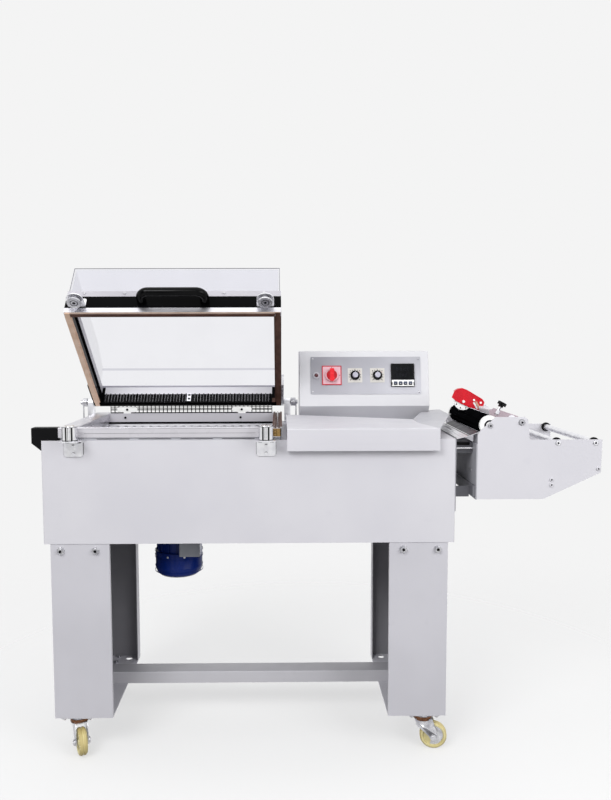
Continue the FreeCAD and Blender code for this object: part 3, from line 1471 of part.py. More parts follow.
def perforator_arm():
    """Red guard with the wheel's pin, carried by a bar and lever that turn on a cross shaft."""
    c = perforator_centre()
    w = perforator_wheel_width / 2.0
    y1 = c.y - w - 1.0
    y0 = y1 - guard_sheet
    px, pz = perforator_pivot_x, perforator_pivot_z
    outline = guard_outline(c)
    plate = profile_y(outline, y0, y1)
    plate = rounded(plate, 4, lambda e: runs_along(e, (0, 1, 0)) and e.CenterOfMass.x > c.x + 50)
    inner = [(x - (2 if x > c.x else -2), z - 3) for x, z in outline[1:6]]
    rim = profile_y(outline[1:6] + inner[::-1], y1, y1 + guard_rim_depth)
    pin = cylinder(wheel_pin_radius, (c.x, y0 - 3, c.z), (c.x, c.y + w + 6, c.z))
    keeper = cylinder(wheel_pin_radius * 1.6, (c.x, c.y + w + 0.5, c.z), (c.x, c.y + w + 3.5, c.z))
    tabs = [cylinder(3.2, (c.x + dx, y0 - 2, c.z + dz), (c.x + dx, y0, c.z + dz))
            for dx, dz in ((31, 4), (51, -4))]
    strip = prism([(c.x + 33, y0 - 2, c.z - 2), (c.x + 39, y0 - 2, c.z + 1), (c.x + 52, y0 - 2, c.z - 22),
                   (c.x + 46, y0 - 2, c.z - 25)], (0, 2, 0))
    slot = prism([(c.x + 33 - guard_slot_width, y0 - 1, c.z - 4), (c.x + 33, y0 - 1, c.z - 2),
                  (c.x + 44, y0 - 1, c.z - 21), (c.x + 44 - guard_slot_width, y0 - 1, c.z - 22)],
                 (0, guard_sheet + 2, 0))
    half = carrier_side / 2.0
    bx, bz = c.x + carrier_x + half, c.z - carrier_z - half
    bar = box(bx - half, bx + half, lever_y, y1 + 2, bz - half, bz + half)
    bar = rounded(bar, 2, lambda e: runs_along(e, (0, 1, 0)))
    lever = profile_y([(bx - half, bz + half - 6), (bx + half, bz + half + 4), (px + 20, pz + 7),
                       (px + 14, pz - 9), (px - 8, pz - 12), (bx - half, bz - half)],
                      lever_y, lever_y + lever_sheet)
    shaft = cylinder(roller_pin_radius, (px, unwinder_front - 6, pz),
                     (px, unwinder_rear_y() + unwinder_sheet + 3, pz))
    bush = cylinder(11.0, (px, lever_y - 5, pz), (px, lever_y + 10, pz))
    boss = cylinder(7.0, knob_axis_point(-6), knob_axis_point(6))
    body = joined([plate.cut(slot), rim, pin, keeper, strip, bar, lever, bush, shaft, boss] + tabs)
    bore = cylinder(knob_stem_radius + running_clearance, knob_axis_point(-8), knob_axis_point(knob_reach))
    return body.cut(bore)


def knob_axis_point(distance):
    """A point on the star knob's axis, measured up from the lever."""
    a = math.radians(knob_lean)
    x = perforator_pivot_x - knob_base_x + distance * math.sin(a)
    z = perforator_pivot_z + knob_base_z + distance * math.cos(a)
    return (x, lever_y + lever_sheet / 2.0, z)


def star_knob():
    """Five-lobed clamping knob on its stem."""
    a = math.radians(knob_lean)
    axis = V(math.sin(a), 0, math.cos(a))
    base = V(*knob_axis_point(knob_reach))
    hub = Part.makeCylinder(7.0, 12, base, axis)
    star = [Part.makeCylinder(knob_star_radius * 0.62, 9, base + axis * 6, axis)]
    side = V(math.cos(a), 0, -math.sin(a))
    front = V(0, 1, 0)
    for i in range(5):
        angle = 2 * math.pi * i / 5
        outward = side * math.cos(angle) + front * math.sin(angle)
        centre = base + axis * 6 + outward * (knob_star_radius * 0.62)
        star.append(Part.makeCylinder(knob_star_radius * 0.38, 9, centre, axis))
    stem = cylinder(knob_stem_radius, knob_axis_point(-4), knob_axis_point(knob_reach + 1))
    return joined([hub, stem] + star)


def build():
    nodes["cabinet_shell"] = cabinet_shell()
    nodes["cabinet_floor"] = cabinet_floor()
    nodes["side_frame_left"] = side_frame(frame_left_x, frame_left_x + frame_width, -1)
    nodes["side_frame_right"] = side_frame(frame_right_x, frame_right_x + frame_width, 1)
    nodes["cross_beam"] = cross_beam()
    nodes["frame_bolts"] = frame_bolts()
    nodes["caster_plates"] = group([caster_plate(x, y) for x, y in caster_places()])
    for (x, y), name, turn in zip(caster_places(), caster_names, caster_turns):
        nodes["caster_fork_" + name] = caster_fork(x, y, turn)
        nodes["caster_wheel_" + name] = caster_wheel(x, y, turn)
    nodes["seal_frame"] = seal_frame()
    nodes["frame_gasket"] = frame_gasket()
    nodes["right_seal_bar"] = right_seal_bar()
    nodes["seal_wires"] = seal_wires()
    nodes["chamber_liner"] = chamber_liner()
    nodes["product_rack"] = product_rack()
    nodes["baffle_plate"] = baffle_plate()
    nodes["heater_tubes"] = heater_tubes()
    nodes["fan_wheel"] = fan_wheel()
    nodes["motor_body"] = motor_body()
    nodes["motor_cowl"] = motor_cowl()
    nodes["electromagnets"] = electromagnets()
    nodes["hood_bars"] = hood_bars()
    nodes["hood_trim"] = hood_trim()
    nodes["seal_pads"] = seal_pads()
    nodes["hood_cover"] = hood_cover()
    nodes["hood_handle"] = hood_handle()
    nodes["armature_plates"] = armature_plates()
    nodes["hinge_arms"] = hinge_arms()
    nodes["hood_comb"] = hood_comb()
    nodes["hinge_brackets"] = hinge_brackets()
    nodes["hinge_springs"] = hinge_springs()
    nodes["rear_guard"] = rear_guard()
    nodes["side_cover"] = side_cover()
    nodes["control_box"] = control_box()
    nodes["control_panel"] = control_panel()
    nodes["temperature_meter"] = temperature_meter()
    for i in range(4):
        nodes["meter_key_" + "abcd"[i]] = meter_key(i)
    nodes["switch_knob"] = switch_knob()
    nodes["dial_knob_left"] = dial_knob(0)
    nodes["dial_knob_right"] = dial_knob(1)
    nodes["product_tray"] = product_tray()
    nodes["unwinder_front_plate"] = unwinder_front_plate()
    nodes["unwinder_rear_plate"] = unwinder_rear_plate()
    nodes["unwinder_frame"] = group(unwinder_mount() + unwinder_tie_bars())
    nodes["film_guide"] = film_guide()
    nodes["feed_roller"] = feed_roller()
    nodes["film_roller_left"] = film_roller(0)
    nodes["film_roller_right"] = film_roller(1)
    nodes["perforator_arm"] = perforator_arm()
    nodes["perforator_wheel"] = perforator_wheel()
    nodes["star_knob"] = star_knob()


build()
whole = Part.makeCompound(list(nodes.values())).BoundBox
origin = V((whole.XMin + whole.XMax) / 2.0, (whole.YMin + whole.YMax) / 2.0, whole.ZMin)

os.makedirs("parts", exist_ok=True)
for name, shape in nodes.items():
    placed = moved(shape, -origin.x, -origin.y, -origin.z)
    placed.exportStep("parts/" + name + ".step")
    state = "valid" if shape.isValid() else "NOT VALID"
    print(name, len(shape.Solids), "solids", state, round(shape.Volume / 1000.0, 1))
print("origin", origin, "size", whole.XLength, whole.YLength, whole.ZLength)
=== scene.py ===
import bpy
import bmesh
import json
import math
from mathutils import Matrix, Vector

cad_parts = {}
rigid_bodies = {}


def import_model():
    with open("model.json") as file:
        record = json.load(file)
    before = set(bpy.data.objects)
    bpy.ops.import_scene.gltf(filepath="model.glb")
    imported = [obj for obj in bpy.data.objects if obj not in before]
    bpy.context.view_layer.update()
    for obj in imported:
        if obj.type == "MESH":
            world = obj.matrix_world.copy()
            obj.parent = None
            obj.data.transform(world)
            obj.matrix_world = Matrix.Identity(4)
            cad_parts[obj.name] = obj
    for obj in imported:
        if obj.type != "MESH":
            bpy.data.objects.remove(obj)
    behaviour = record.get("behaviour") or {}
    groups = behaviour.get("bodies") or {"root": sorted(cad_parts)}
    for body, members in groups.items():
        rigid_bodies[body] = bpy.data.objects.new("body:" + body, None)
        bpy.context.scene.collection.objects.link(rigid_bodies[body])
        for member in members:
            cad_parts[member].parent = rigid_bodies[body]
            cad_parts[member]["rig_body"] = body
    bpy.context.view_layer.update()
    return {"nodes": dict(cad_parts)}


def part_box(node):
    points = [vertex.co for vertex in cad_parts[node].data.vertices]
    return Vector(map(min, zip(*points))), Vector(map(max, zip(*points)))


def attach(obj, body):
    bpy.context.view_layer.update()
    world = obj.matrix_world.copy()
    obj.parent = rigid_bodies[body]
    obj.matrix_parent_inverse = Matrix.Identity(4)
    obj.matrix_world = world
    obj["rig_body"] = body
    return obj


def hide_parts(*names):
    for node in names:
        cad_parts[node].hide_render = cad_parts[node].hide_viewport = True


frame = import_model()
print("frame loaded,", len(frame["nodes"]), "nodes")

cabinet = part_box("cabinet_shell")[0]  # left front corner of the cabinet


def at(x, y, z):  # millimetres from the cabinet's left front corner to metres in the frame
    return Vector((cabinet.x + x / 1000, cabinet.y + y / 1000, z / 1000))


def fromFrame(point):  # metres in the frame back to those millimetres, with z from the floor
    return Vector(((point.x - cabinet.x) * 1000, (point.y - cabinet.y) * 1000, point.z * 1000))


hoodTurn = {"y": 458.0, "z": 950.0, "angle": math.radians(40.7)}


def shut(point):  # an open hood's point where it lies with the hood shut, in millimetres
    dy, dz = point.y - hoodTurn["y"], point.z - hoodTurn["z"]
    c, s = math.cos(hoodTurn["angle"]), math.sin(hoodTurn["angle"])
    return Vector((point.x, hoodTurn["y"] + dy * c - dz * s, hoodTurn["z"] + dy * s + dz * c))


# finishes

def linear(hexColor):
    channels = [int(hexColor[i:i + 2], 16) / 255 for i in (1, 3, 5)]
    return tuple(c / 12.92 if c <= 0.04045 else ((c + 0.055) / 1.055) ** 2.4 for c in channels) + (1.0,)


def addNode(tree, kind, settings=None, links=None):
    node = tree.nodes.new(kind)
    for key, value in (settings or {}).items():
        if isinstance(key, int) or key in node.inputs:
            node.inputs[key].default_value = value
        else:
            setattr(node, key, value)
    for key, source in (links or {}).items():
        tree.links.new(source, node.inputs[key])
    return node


def startMaterial(name, settings):
    material = bpy.data.materials.new(name)
    material.use_nodes = True
    tree = material.node_tree
    shader = tree.nodes["Principled BSDF"]
    for key, value in settings.items():
        shader.inputs[key].default_value = value
    coords = tree.nodes.new("ShaderNodeTexCoord").outputs["Object"]
    return material, tree, shader, coords


def grain(tree, coords, sizeMm, detail=2.0, stretch=(1.0, 1.0, 1.0)):
    mapping = addNode(tree, "ShaderNodeMapping", {"Scale": stretch}, {"Vector": coords})
    return addNode(tree, "ShaderNodeTexNoise", {"Scale": 1000 / sizeMm, "Detail": detail},
                   {"Vector": mapping.outputs[0]}).outputs["Fac"]


def smooth(low, high, toLow=0.0, toHigh=1.0):
    # settings that draw one range out to another, softly at both ends
    return {"From Min": low, "From Max": high, "To Min": toLow, "To Max": toHigh,
            "interpolation_type": "SMOOTHSTEP"}


def layColor(tree, shader, amount, under, over):
    # both colours are a hex value or the colour of an earlier layer
    mix = addNode(tree, "ShaderNodeMix", {"data_type": "RGBA"}, {0: amount})
    for slot, color in ((6, under), (7, over)):
        if isinstance(color, str):
            mix.inputs[slot].default_value = linear(color)
        else:
            tree.links.new(color, mix.inputs[slot])
    tree.links.new(mix.outputs[2], shader.inputs["Base Color"])
    return mix.outputs[2]


def tint(tree, shader, pattern, hexColor, hexDeep):
    amount = addNode(tree, "ShaderNodeMapRange", smooth(0.3, 0.7), {"Value": pattern}).outputs[0]
    return layColor(tree, shader, amount, hexColor, hexDeep)


def roughen(tree, shader, pattern, low, high):
    level = addNode(tree, "ShaderNodeMapRange", smooth(0.3, 0.7, low, high), {"Value": pattern})
    tree.links.new(level.outputs[0], shader.inputs["Roughness"])


def relief(tree, shader, pattern, depthMm, strength=0.5):
    settings = {"Strength": strength, "Distance": depthMm / 1000}
    node = addNode(tree, "ShaderNodeBump", settings, {"Height": pattern})
    tree.links.new(node.outputs[0], shader.inputs["Normal"])


def rub(tree, shader, color, coords, hexWorn, amount=0.5):
    # handling marks: small scattered patches of another tone
    patches = addNode(tree, "ShaderNodeMapRange", smooth(0.64, 0.74, 0.0, amount),
                      {"Value": grain(tree, coords, 45, 6)}).outputs[0]
    layColor(tree, shader, patches, color, hexWorn)


def powderCoat(name, hexColor, hexDeep, roughness=0.42, peelMm=2.2, depthMm=0.05, specular=0.4, hexWorn=None):
    # polyester powder on sheet steel: satin, with a faint orange peel and a slightly uneven tone
    material, tree, shader, coords = startMaterial(name, {"IOR": 1.5, "Specular IOR Level": specular})
    color = tint(tree, shader, grain(tree, coords, 260, 3), hexColor, hexDeep)
    rub(tree, shader, color, coords, hexWorn or hexDeep)
    roughen(tree, shader, grain(tree, coords, 35, 3), roughness - 0.04, roughness + 0.06)
    relief(tree, shader, grain(tree, coords, peelMm, 1), depthMm, 0.25)
    return material


def panelFoil(name, hexLeft, hexRight):
    # silver-printed polyester foil with a painted reflection: darker at the top left, a soft fade lighter to
    # the right and downwards, under a fine satin emboss
    material, tree, shader, coords = startMaterial(name, {"IOR": 1.5, "Specular IOR Level": 0.3})
    place = addNode(tree, "ShaderNodeSeparateXYZ", None, {0: coords}).outputs
    topLeft, lowRight = at(741, 0, 1105), at(1092, 0, 985)
    sideways = addNode(tree, "ShaderNodeMapRange", smooth(topLeft.x, lowRight.x, 0.0, 0.55),
                       {"Value": place["X"]}).outputs[0]
    downwards = addNode(tree, "ShaderNodeMapRange", smooth(topLeft.z, lowRight.z, 0.0, 0.45),
                        {"Value": place["Z"]}).outputs[0]
    fade = addNode(tree, "ShaderNodeMath", {"operation": "ADD"}, {0: sideways, 1: downwards}).outputs[0]
    cloud = addNode(tree, "ShaderNodeMapRange", smooth(0.2, 0.8, -0.15, 0.15),
                    {"Value": grain(tree, coords, 120, 2)}).outputs[0]
    amount = addNode(tree, "ShaderNodeMath", {"operation": "ADD", "use_clamp": True},
                     {0: fade, 1: cloud}).outputs[0]
    layColor(tree, shader, amount, hexLeft, hexRight)
    roughen(tree, shader, grain(tree, coords, 30, 3), 0.28, 0.38)
    relief(tree, shader, grain(tree, coords, 0.9, 1), 0.02, 0.25)
    return material


def brushedMetal(name, hexColor, hexDeep, along, roughness=0.32, lineMm=2.4):
    # rolled or extruded metal with fine lines drawn along its length
    material, tree, shader, coords = startMaterial(name, {"Metallic": 1.0})
    stretch = [1.0, 1.0, 1.0]
    stretch["xyz".index(along)] = 0.02
    lines = grain(tree, coords, lineMm, 4, tuple(stretch))
    color = tint(tree, shader, lines, hexColor, hexDeep)
    rub(tree, shader, color, coords, hexDeep)
    roughen(tree, shader, lines, roughness - 0.07, roughness + 0.1)
    relief(tree, shader, lines, 0.03, 0.25)
    return material


def platedSteel(name, hexColor, hexDeep, roughness=0.28, cloudMm=18, swing=0.1):
    # bright zinc or nickel over pressed steel, cloudy at the size of a thumb
    material, tree, shader, coords = startMaterial(name, {"Metallic": 1.0})
    tint(tree, shader, grain(tree, coords, cloudMm, 3), hexColor, hexDeep)
    cloud = grain(tree, coords, cloudMm / 2, 4)
    roughen(tree, shader, cloud, roughness - swing * 0.8, roughness + swing * 1.2)
    relief(tree, shader, grain(tree, coords, 1.2, 2), 0.01, 0.2)
    return material


def moulded(name, hexColor, hexDeep, roughness, grainMm=1.5, depthMm=0.04, coat=0.0, specular=0.4):
    # injection moulded plastic: even colour, very fine spark-eroded grain
    settings = {"IOR": 1.5, "Coat Weight": coat, "Coat Roughness": 0.08, "Specular IOR Level": specular}
    material, tree, shader, coords = startMaterial(name, settings)
    tint(tree, shader, grain(tree, coords, 60, 2), hexColor, hexDeep)
    roughen(tree, shader, grain(tree, coords, 12, 3), roughness - 0.05, roughness + 0.06)
    relief(tree, shader, grain(tree, coords, grainMm, 1), depthMm, 0.3)
    return material


def wovenTape(name, hexColor, hexDeep, pitchMm=2.2):
    # glass cloth tape with a slippery coating: crossing threads under a dull sheen
    material, tree, shader, coords = startMaterial(name, {"IOR": 1.38, "Roughness": 0.55})
    waves = []
    for direction in ("X", "Y"):
        settings = {"Scale": 1000 / pitchMm / (2 * math.pi), "bands_direction": direction}
        wave = addNode(tree, "ShaderNodeTexWave", settings, {"Vector": coords})
        waves.append(wave.outputs["Fac"])
    weave = addNode(tree, "ShaderNodeMath", {"operation": "MULTIPLY"}, {0: waves[0], 1: waves[1]}).outputs[0]
    color = tint(tree, shader, grain(tree, coords, 30, 3), hexColor, hexDeep)
    threads = addNode(tree, "ShaderNodeMapRange", smooth(0.0, 1.0, 0.0, 0.35), {"Value": weave}).outputs[0]
    layColor(tree, shader, threads, color, hexDeep)
    relief(tree, shader, weave, 0.08, 0.4)
    return material


def clearSheet(name, hexClear, hexEdge, veil=1.0):
    # bent polycarbonate sheet: clear face on, veiled where one looks along the sheet, with fine wiping haze
    settings = {"IOR": 1.5, "Roughness": 0.08, "Specular IOR Level": 0.5}
    material, tree, shader, coords = startMaterial(name, settings)
    tint(tree, shader, grain(tree, coords, 220, 2), hexEdge, "#8C8C96")
    through = addNode(tree, "ShaderNodeBsdfTransparent", {"Color": linear(hexClear)})
    slant = addNode(tree, "ShaderNodeLayerWeight", {"Blend": 0.5}).outputs["Facing"]
    power = addNode(tree, "ShaderNodeMath", {"operation": "POWER", 1: 5.0}, {0: slant}).outputs[0]
    haze = addNode(tree, "ShaderNodeMapRange", smooth(0.3, 0.8, 0.0, 0.012),
                   {"Value": grain(tree, coords, 90, 4, (1.0, 0.3, 1.0))}).outputs[0]
    amount = addNode(tree, "ShaderNodeMath", {"operation": "MULTIPLY_ADD", "use_clamp": True, 1: veil},
                     {0: power, 2: haze}).outputs[0]
    blend = addNode(tree, "ShaderNodeMixShader", None,
                    {0: amount, 1: through.outputs[0], 2: shader.outputs[0]})
    tree.links.new(blend.outputs[0], tree.nodes["Material Output"].inputs["Surface"])
    return material


def lensPlastic(name, hexColor, hexDeep, ribMm=1.3263):
    # small lens of clear red plastic: glossy, with moulded ribs
    material, tree, shader, coords = startMaterial(name, {"IOR": 1.49, "Roughness": 0.12, "Coat Weight": 0.6})
    settings = {"Scale": 1000 / ribMm / (2 * math.pi), "bands_direction": "X", "Distortion": 0.4}
    ribs = addNode(tree, "ShaderNodeTexWave", settings, {"Vector": coords}).outputs["Fac"]
    tint(tree, shader, ribs, hexColor, hexDeep)
    relief(tree, shader, ribs, 0.2, 0.4)
    return material


paint = {
    "cabinet": powderCoat("cabinetPowderCoat", "#D3D2D7", "#CDCCD2"),
    "stand": powderCoat("standPowderCoat", "#C9C8CE", "#C2C1C7"),
    # painted shade: a darker copy of the stand paint for the stand's inner faces
    "standShade": powderCoat("standPaintedShadeCoat", "#8A898D", "#7E7D82", 0.55),
    "beam": powderCoat("beamPowderCoat", "#C3C2C7", "#BBBABF"),
    "inlet": powderCoat("inletPowderCoat", "#BDBDC2", "#B4B4BA"),
    "console": powderCoat("consolePowderCoat", "#D3D3D6", "#CDCDD1"),
    # painted shade: a darker copy of the console paint for its chin
    "chin": powderCoat("consoleChinPaintedShade", "#CACACE", "#C0C0C5"),
    # painted reflection: the panel's tone fades from dark at the top left to light at the lower right
    "panel": panelFoil("silverFoilPaintedReflection", "#94949B", "#C2C2C9"),
    "clamp": powderCoat("clampStripCoat", "#B9B7BE", "#AFADB4", 0.4),
    # painted shade: a darker copy of the beam paint for the beam's top, which lies in shade
    "beamTop": powderCoat("beamTopPaintedShade", "#A3A2A7", "#9A999E"),
    "anodised": powderCoat("clearAnodised", "#C0BEC4", "#B5B3B9", 0.34),
    "barFront": powderCoat("clearAnodisedFront", "#CDCBD0", "#C3C1C6", 0.3),
    "blackInside": powderCoat("dullBlackPaint", "#050506", "#08080A", 0.5, 3.0, 0.02, 0.0, "#0A0A0C"),
    # painted reflection: a dark grey standing in for the black roller mirrored in the guide's upper strip
    "guideRollerReflection": powderCoat("guideRollerReflectionCoat", "#424247", "#36363B", 0.4, specular=0.2),
    "paleTrim": powderCoat("paleTrimCoat", "#E6E5EA", "#DCDBE0", 0.4),
    "blackGloss": powderCoat("blackGlossPaint", "#050506", "#08080A", 0.2, 3.0, 0.02, 0.02, "#0A0A0C"),
    "blackSatin": powderCoat("blackSatinPaint", "#0D0D0F", "#09090B", 0.4, 2.2, 0.05, 0.1, "#16161A"),
    # painted shade: darker greys for the unwinder's inner parts, standing in for the shade inside it
    "darkGrey": powderCoat("unwinderPaintedShadeGrey", "#A9A9AF", "#98989E", 0.5),
    "steelGrey": powderCoat("armPaintedShadeGrey", "#6C6C72", "#5C5C62", 0.45),
    "mauve": powderCoat("leverPaint", "#B9A9B0", "#A7979F", 0.4),
    "motorBlue": powderCoat("motorEnamel", "#0D2876", "#0A1E5C", 0.26, 3.5, 0.06, 0.14, "#0A1848"),
}
metal = {
    "alongX": brushedMetal("brushedAluminiumAcross", "#E2E1E6", "#CBCAD0", "x"),
    "alongY": brushedMetal("brushedAluminiumDeep", "#E2E1E6", "#CBCAD0", "y"),
    "stainless": brushedMetal("stainlessSheet", "#B4B4B8", "#8E8E94", "x", 0.3, 3.0),
    "guideLow": brushedMetal("guideSheet", "#EAEAEE", "#CFCFD4", "y", 0.34, 3.0),
    # painted shade: darker aluminium for the shade in the front bar's groove and under its lip
    "groove": platedSteel("paintedShadeAluminium", "#85858A", "#75757A", 0.4),
    "wire": platedSteel("stainlessWire", "#D4D4D7", "#A9A9AF", 0.22, 8),
    "zinc": platedSteel("zincPlate", "#DADADD", "#B0B0B6", 0.3),
    "bracket": platedSteel("nickelPlate", "#F4F4F7", "#E4E4E9", 0.36),
    "chrome": platedSteel("chromePlate", "#F4F4F6", "#E6E6E9", 0.06, swing=0.03),
    "dark": platedSteel("blackenedSteel", "#3A3A3F", "#232327", 0.35),
    "brass": brushedMetal("turnedBrass", "#B0905C", "#7E6440", "z", 0.3),
    "race": platedSteel("greasedRace", "#8A6248", "#5F4232", 0.5, 6),
}
plastic = {
    "blackGloss": moulded("polishedBlackPlastic", "#040405", "#070708", 0.16, 6.0, 0.01, 0.12, 0.05),
    "blackMatt": moulded("blackNylon", "#0E0E10", "#09090B", 0.42, specular=0.14),
    "red": moulded("redAbs", "#D01426", "#B80F20", 0.28, 2.0, 0.02, 0.2, 0.25),
    "pink": moulded("paleRedPlate", "#E3BCC5", "#DAAEB8", 0.35, 3.0, 0.01),
    "tan": moulded("tanScale", "#C99A86", "#B5836E", 0.4),
    "white": moulded("whiteAcetal", "#F8F8F7", "#F0F0EE", 0.35),
    "greyCap": moulded("greyKnobCap", "#C9C7D2", "#AFAEBA", 0.3),
    "cream": moulded("creamPolyamide", "#E3D9A6", "#CFC288", 0.4),
    "creamWorn": moulded("wornTread", "#D2C38A", "#B7A66C", 0.55),
    "rubber": moulded("blackRubber", "#0A0A0C", "#101012", 0.5, 2.5, 0.05, specular=0.12),
    "rollerRubber": moulded("groundRubber", "#070708", "#0B0B0D", 0.7, 1.5, 0.01, specular=0.0),
    "display": moulded("displayWindow", "#0A0B0E", "#101216", 0.1, 8.0, 0.0, specular=0.2),
    "blackSegment": moulded("unlitSegments", "#1C1D24", "#16171D", 0.3, specular=0.1),
    "keyBlue": moulded("slateKeys", "#4A5064", "#3D4356", 0.35),
    "terminalGrey": moulded("greyTerminalCover", "#8B8D94", "#7B7D84", 0.4),
    "lampRed": lensPlastic("redLampLens", "#5A0C1C", "#3C0712"),
    "ink": moulded("printedInk", "#141418", "#0E0E12", 0.5, specular=0.1),
    "inkRed": moulded("printedRedInk", "#C4303C", "#AE2632", 0.5),
    "packing": moulded("greyPacking", "#C4C4CA", "#B6B6BC", 0.5),
    "seam": moulded("seamCement", "#7A7A82", "#6A6A72", 0.3, specular=0.2),
    "ivory": moulded("ivoryScalePlate", "#D0CDC8", "#C6C3BD", 0.35, 3.0, 0.01),
    "redBright": moulded("brightRedAbs", "#E8222F", "#D81A28", 0.25, 2.0, 0.02, 0.2, 0.25),
}
tape = {
    "tan": wovenTape("tanGlassTape", "#EFD3BE", "#E0BFA6"),
    "peach": wovenTape("paleGlassTape", "#F3DDCB", "#E6CAB4"),
    "brown": wovenTape("brownGlassTape", "#573A2F", "#432A21"),
}
clear = clearSheet("clearPolycarbonate", "#FCFCFE", "#8C8C94", 0.4)
clearEdge = clearSheet("polycarbonateBend", "#E2E2E8", "#5C5C64")
print("finishes made")


# building blocks

def merged(node):
    mesh = bmesh.new()
    mesh.from_mesh(frame["nodes"][node].data)
    bmesh.ops.remove_doubles(mesh, verts=mesh.verts, dist=2e-6)
    bmesh.ops.dissolve_limit(mesh, angle_limit=math.radians(0.6), verts=mesh.verts, edges=mesh.edges)
    return mesh


def extent(points):
    return [Vector([pick(p[i] for p in points) for i in range(3)]) for pick in (min, max)]


def islands(mesh):
    seen = set()
    groups = []
    for face in mesh.faces:
        if face.index in seen:
            continue
        group, front = [], [face]
        seen.add(face.index)
        while front:
            current = front.pop()
            group.append(current)
            for edge in current.edges:
                for other in edge.link_faces:
                    if other.index not in seen:
                        seen.add(other.index)
                        front.append(other)
        groups.append(group)
    return groups


def finishPiece(mesh, name, finishes, body, nodes=(), edgeMm=0.0):
    data = bpy.data.meshes.new(name)
    mesh.to_mesh(data)
    mesh.free()
    for material in finishes:
        data.materials.append(material)
    data.shade_smooth()
    data.set_sharp_from_angle(angle=math.radians(32))
    piece = bpy.data.objects.new(name, data)
    bpy.context.scene.collection.objects.link(piece)
    if edgeMm > 0:
        bevel = piece.modifiers.new("softEdges", "BEVEL")
        bevel.width = edgeMm / 1000
        bevel.segments = 2
        bevel.limit_method = "ANGLE"
        bevel.angle_limit = math.radians(40)
        bevel.harden_normals = True
        bevel.use_clamp_overlap = True
    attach(piece, body)
    if nodes:
        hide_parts(*nodes)
    return piece


bodyOf = {n: o["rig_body"] for n, o in frame["nodes"].items()}


def dress(node, finishes, edgeMm=0.6, islandPick=None, facePick=None, cuts=()):
    finishes = finishes if isinstance(finishes, list) else [finishes]
    mesh = merged(node)
    for point, normal in cuts:
        everything = mesh.verts[:] + mesh.edges[:] + mesh.faces[:]
        bmesh.ops.bisect_plane(mesh, geom=everything, plane_co=point, plane_no=normal)
    if islandPick:
        mesh.faces.index_update()
        for group in islands(mesh):
            index = islandPick(*extent([fromFrame(v.co) for f in group for v in f.verts]))
            for face in group:
                face.material_index = index
    if facePick:
        for face in mesh.faces:
            index = facePick(fromFrame(face.calc_center_median()), face.normal)
            if index is not None:
                face.material_index = index
    return finishPiece(mesh, node + "_dressed", finishes, bodyOf[node], [node], edgeMm)


def facing(origin, outward, up=(0, 0, 1)):
    # a working plane: x to the right as seen from outside, y up, z outwards
    # millimetres go in, metres come out
    out = Vector(outward).normalized()
    across = Vector(up).cross(out).normalized()
    upward = out.cross(across)
    turn = Matrix((across, upward, out)).transposed().to_4x4()
    return Matrix.Translation(at(*origin)) @ turn @ Matrix.Scale(0.001, 4)


def slab(mesh, plane, x, y, z, finish=0):
    centre = Matrix.Translation([(a + b) / 2 for a, b in (x, y, z)])
    size = Matrix.Diagonal([b - a for a, b in (x, y, z)] + [1])
    made = bmesh.ops.create_cube(mesh, size=1.0, matrix=plane @ centre @ size)["verts"]
    for face in {f for v in made for f in v.link_faces}:
        face.material_index = finish


def lathe(mesh, plane, centre, profile, finish=0, segments=32):
    # spins (radius, height) pairs round the plane's z axis; a radius of 0 makes a point
    older = set(mesh.faces)
    middle = plane @ Matrix.Translation(centre)
    line = [mesh.verts.new(middle @ Vector((radius, 0, height))) for radius, height in profile]
    edges = [mesh.edges.new(pair) for pair in zip(line, line[1:])]
    bmesh.ops.spin(mesh, geom=line + edges, cent=middle.translation, axis=middle.to_3x3() @ Vector((0, 0, 1)),
                   angle=2 * math.pi, steps=segments, use_merge=True)
    turned = {v for face in mesh.faces if face not in older for v in face.verts}
    bmesh.ops.remove_doubles(mesh, verts=list(turned), dist=5e-6)
    made = [face for face in mesh.faces if face not in older]
    for face in made:
        face.material_index = finish
    bmesh.ops.recalc_face_normals(mesh, faces=made)


def button(mesh, plane, centre, radius, height, finish=0, segments=32, soft=0.4):
    profile = [(0, 0), (radius, 0), (radius, height - soft), (radius - soft, height), (0, height)]
    lathe(mesh, plane, centre, profile, finish, segments)


def hexagon(mesh, plane, centre, radius, depth=0.12, finish=0):
    # a thin dark hexagon painted as the shade inside a screw's socket
    lathe(mesh, plane, centre, [(0, 0), (radius, 0), (radius, depth), (0, depth)], finish, 6)


def washer(mesh, plane, centre, outer, inner, height, finish=0, segments=40):
    soft = min(0.3, height / 3)
    lathe(mesh, plane, centre, [(inner, 0), (outer, 0), (outer, height - soft), (outer - soft, height),
                                (inner + soft, height), (inner, height - soft), (inner, 0)], finish, segments)


def extra(mesh, name, finishes, body, edgeMm=0.0):
    return finishPiece(mesh, name, finishes, body, (), edgeMm)


front = facing((0, 0, 0), (0, -1, 0))


# stand and cabinet
# painted shade: the legs' inner faces and the back flanges' front faces take the darker stand paint, standing
# in for the shade inside the stand
def standShadePick(c, n):
    leftSide = c.x < 300
    innerSkin = n.x > 0.9 and c.x < 26 if leftSide else n.x < -0.9 and c.x > 1094
    return 1 if innerSkin or (n.y < -0.9 and c.y > 200) else 0


dress("cabinet_shell", paint["cabinet"], 0.9)
dress("cabinet_floor", [paint["cabinet"]], 0.6)
# painted shade: the cross beam's upward faces take the darker beam paint
dress("cross_beam", [paint["beam"], paint["beamTop"]], 0.9, facePick=lambda c, n: 1 if n.z > 0.9 else 0)
for side in ("left", "right"):
    dress("side_frame_" + side, [paint["stand"], paint["standShade"]], 0.9, facePick=standShadePick)
dress("frame_bolts", metal["zinc"], 0.5)

boltSocket = {"places": (45.5, 140.0, 980.0, 1074.5), "height": 581, "radius": 4.2, "headDepth": 6,
              "rear": 420}
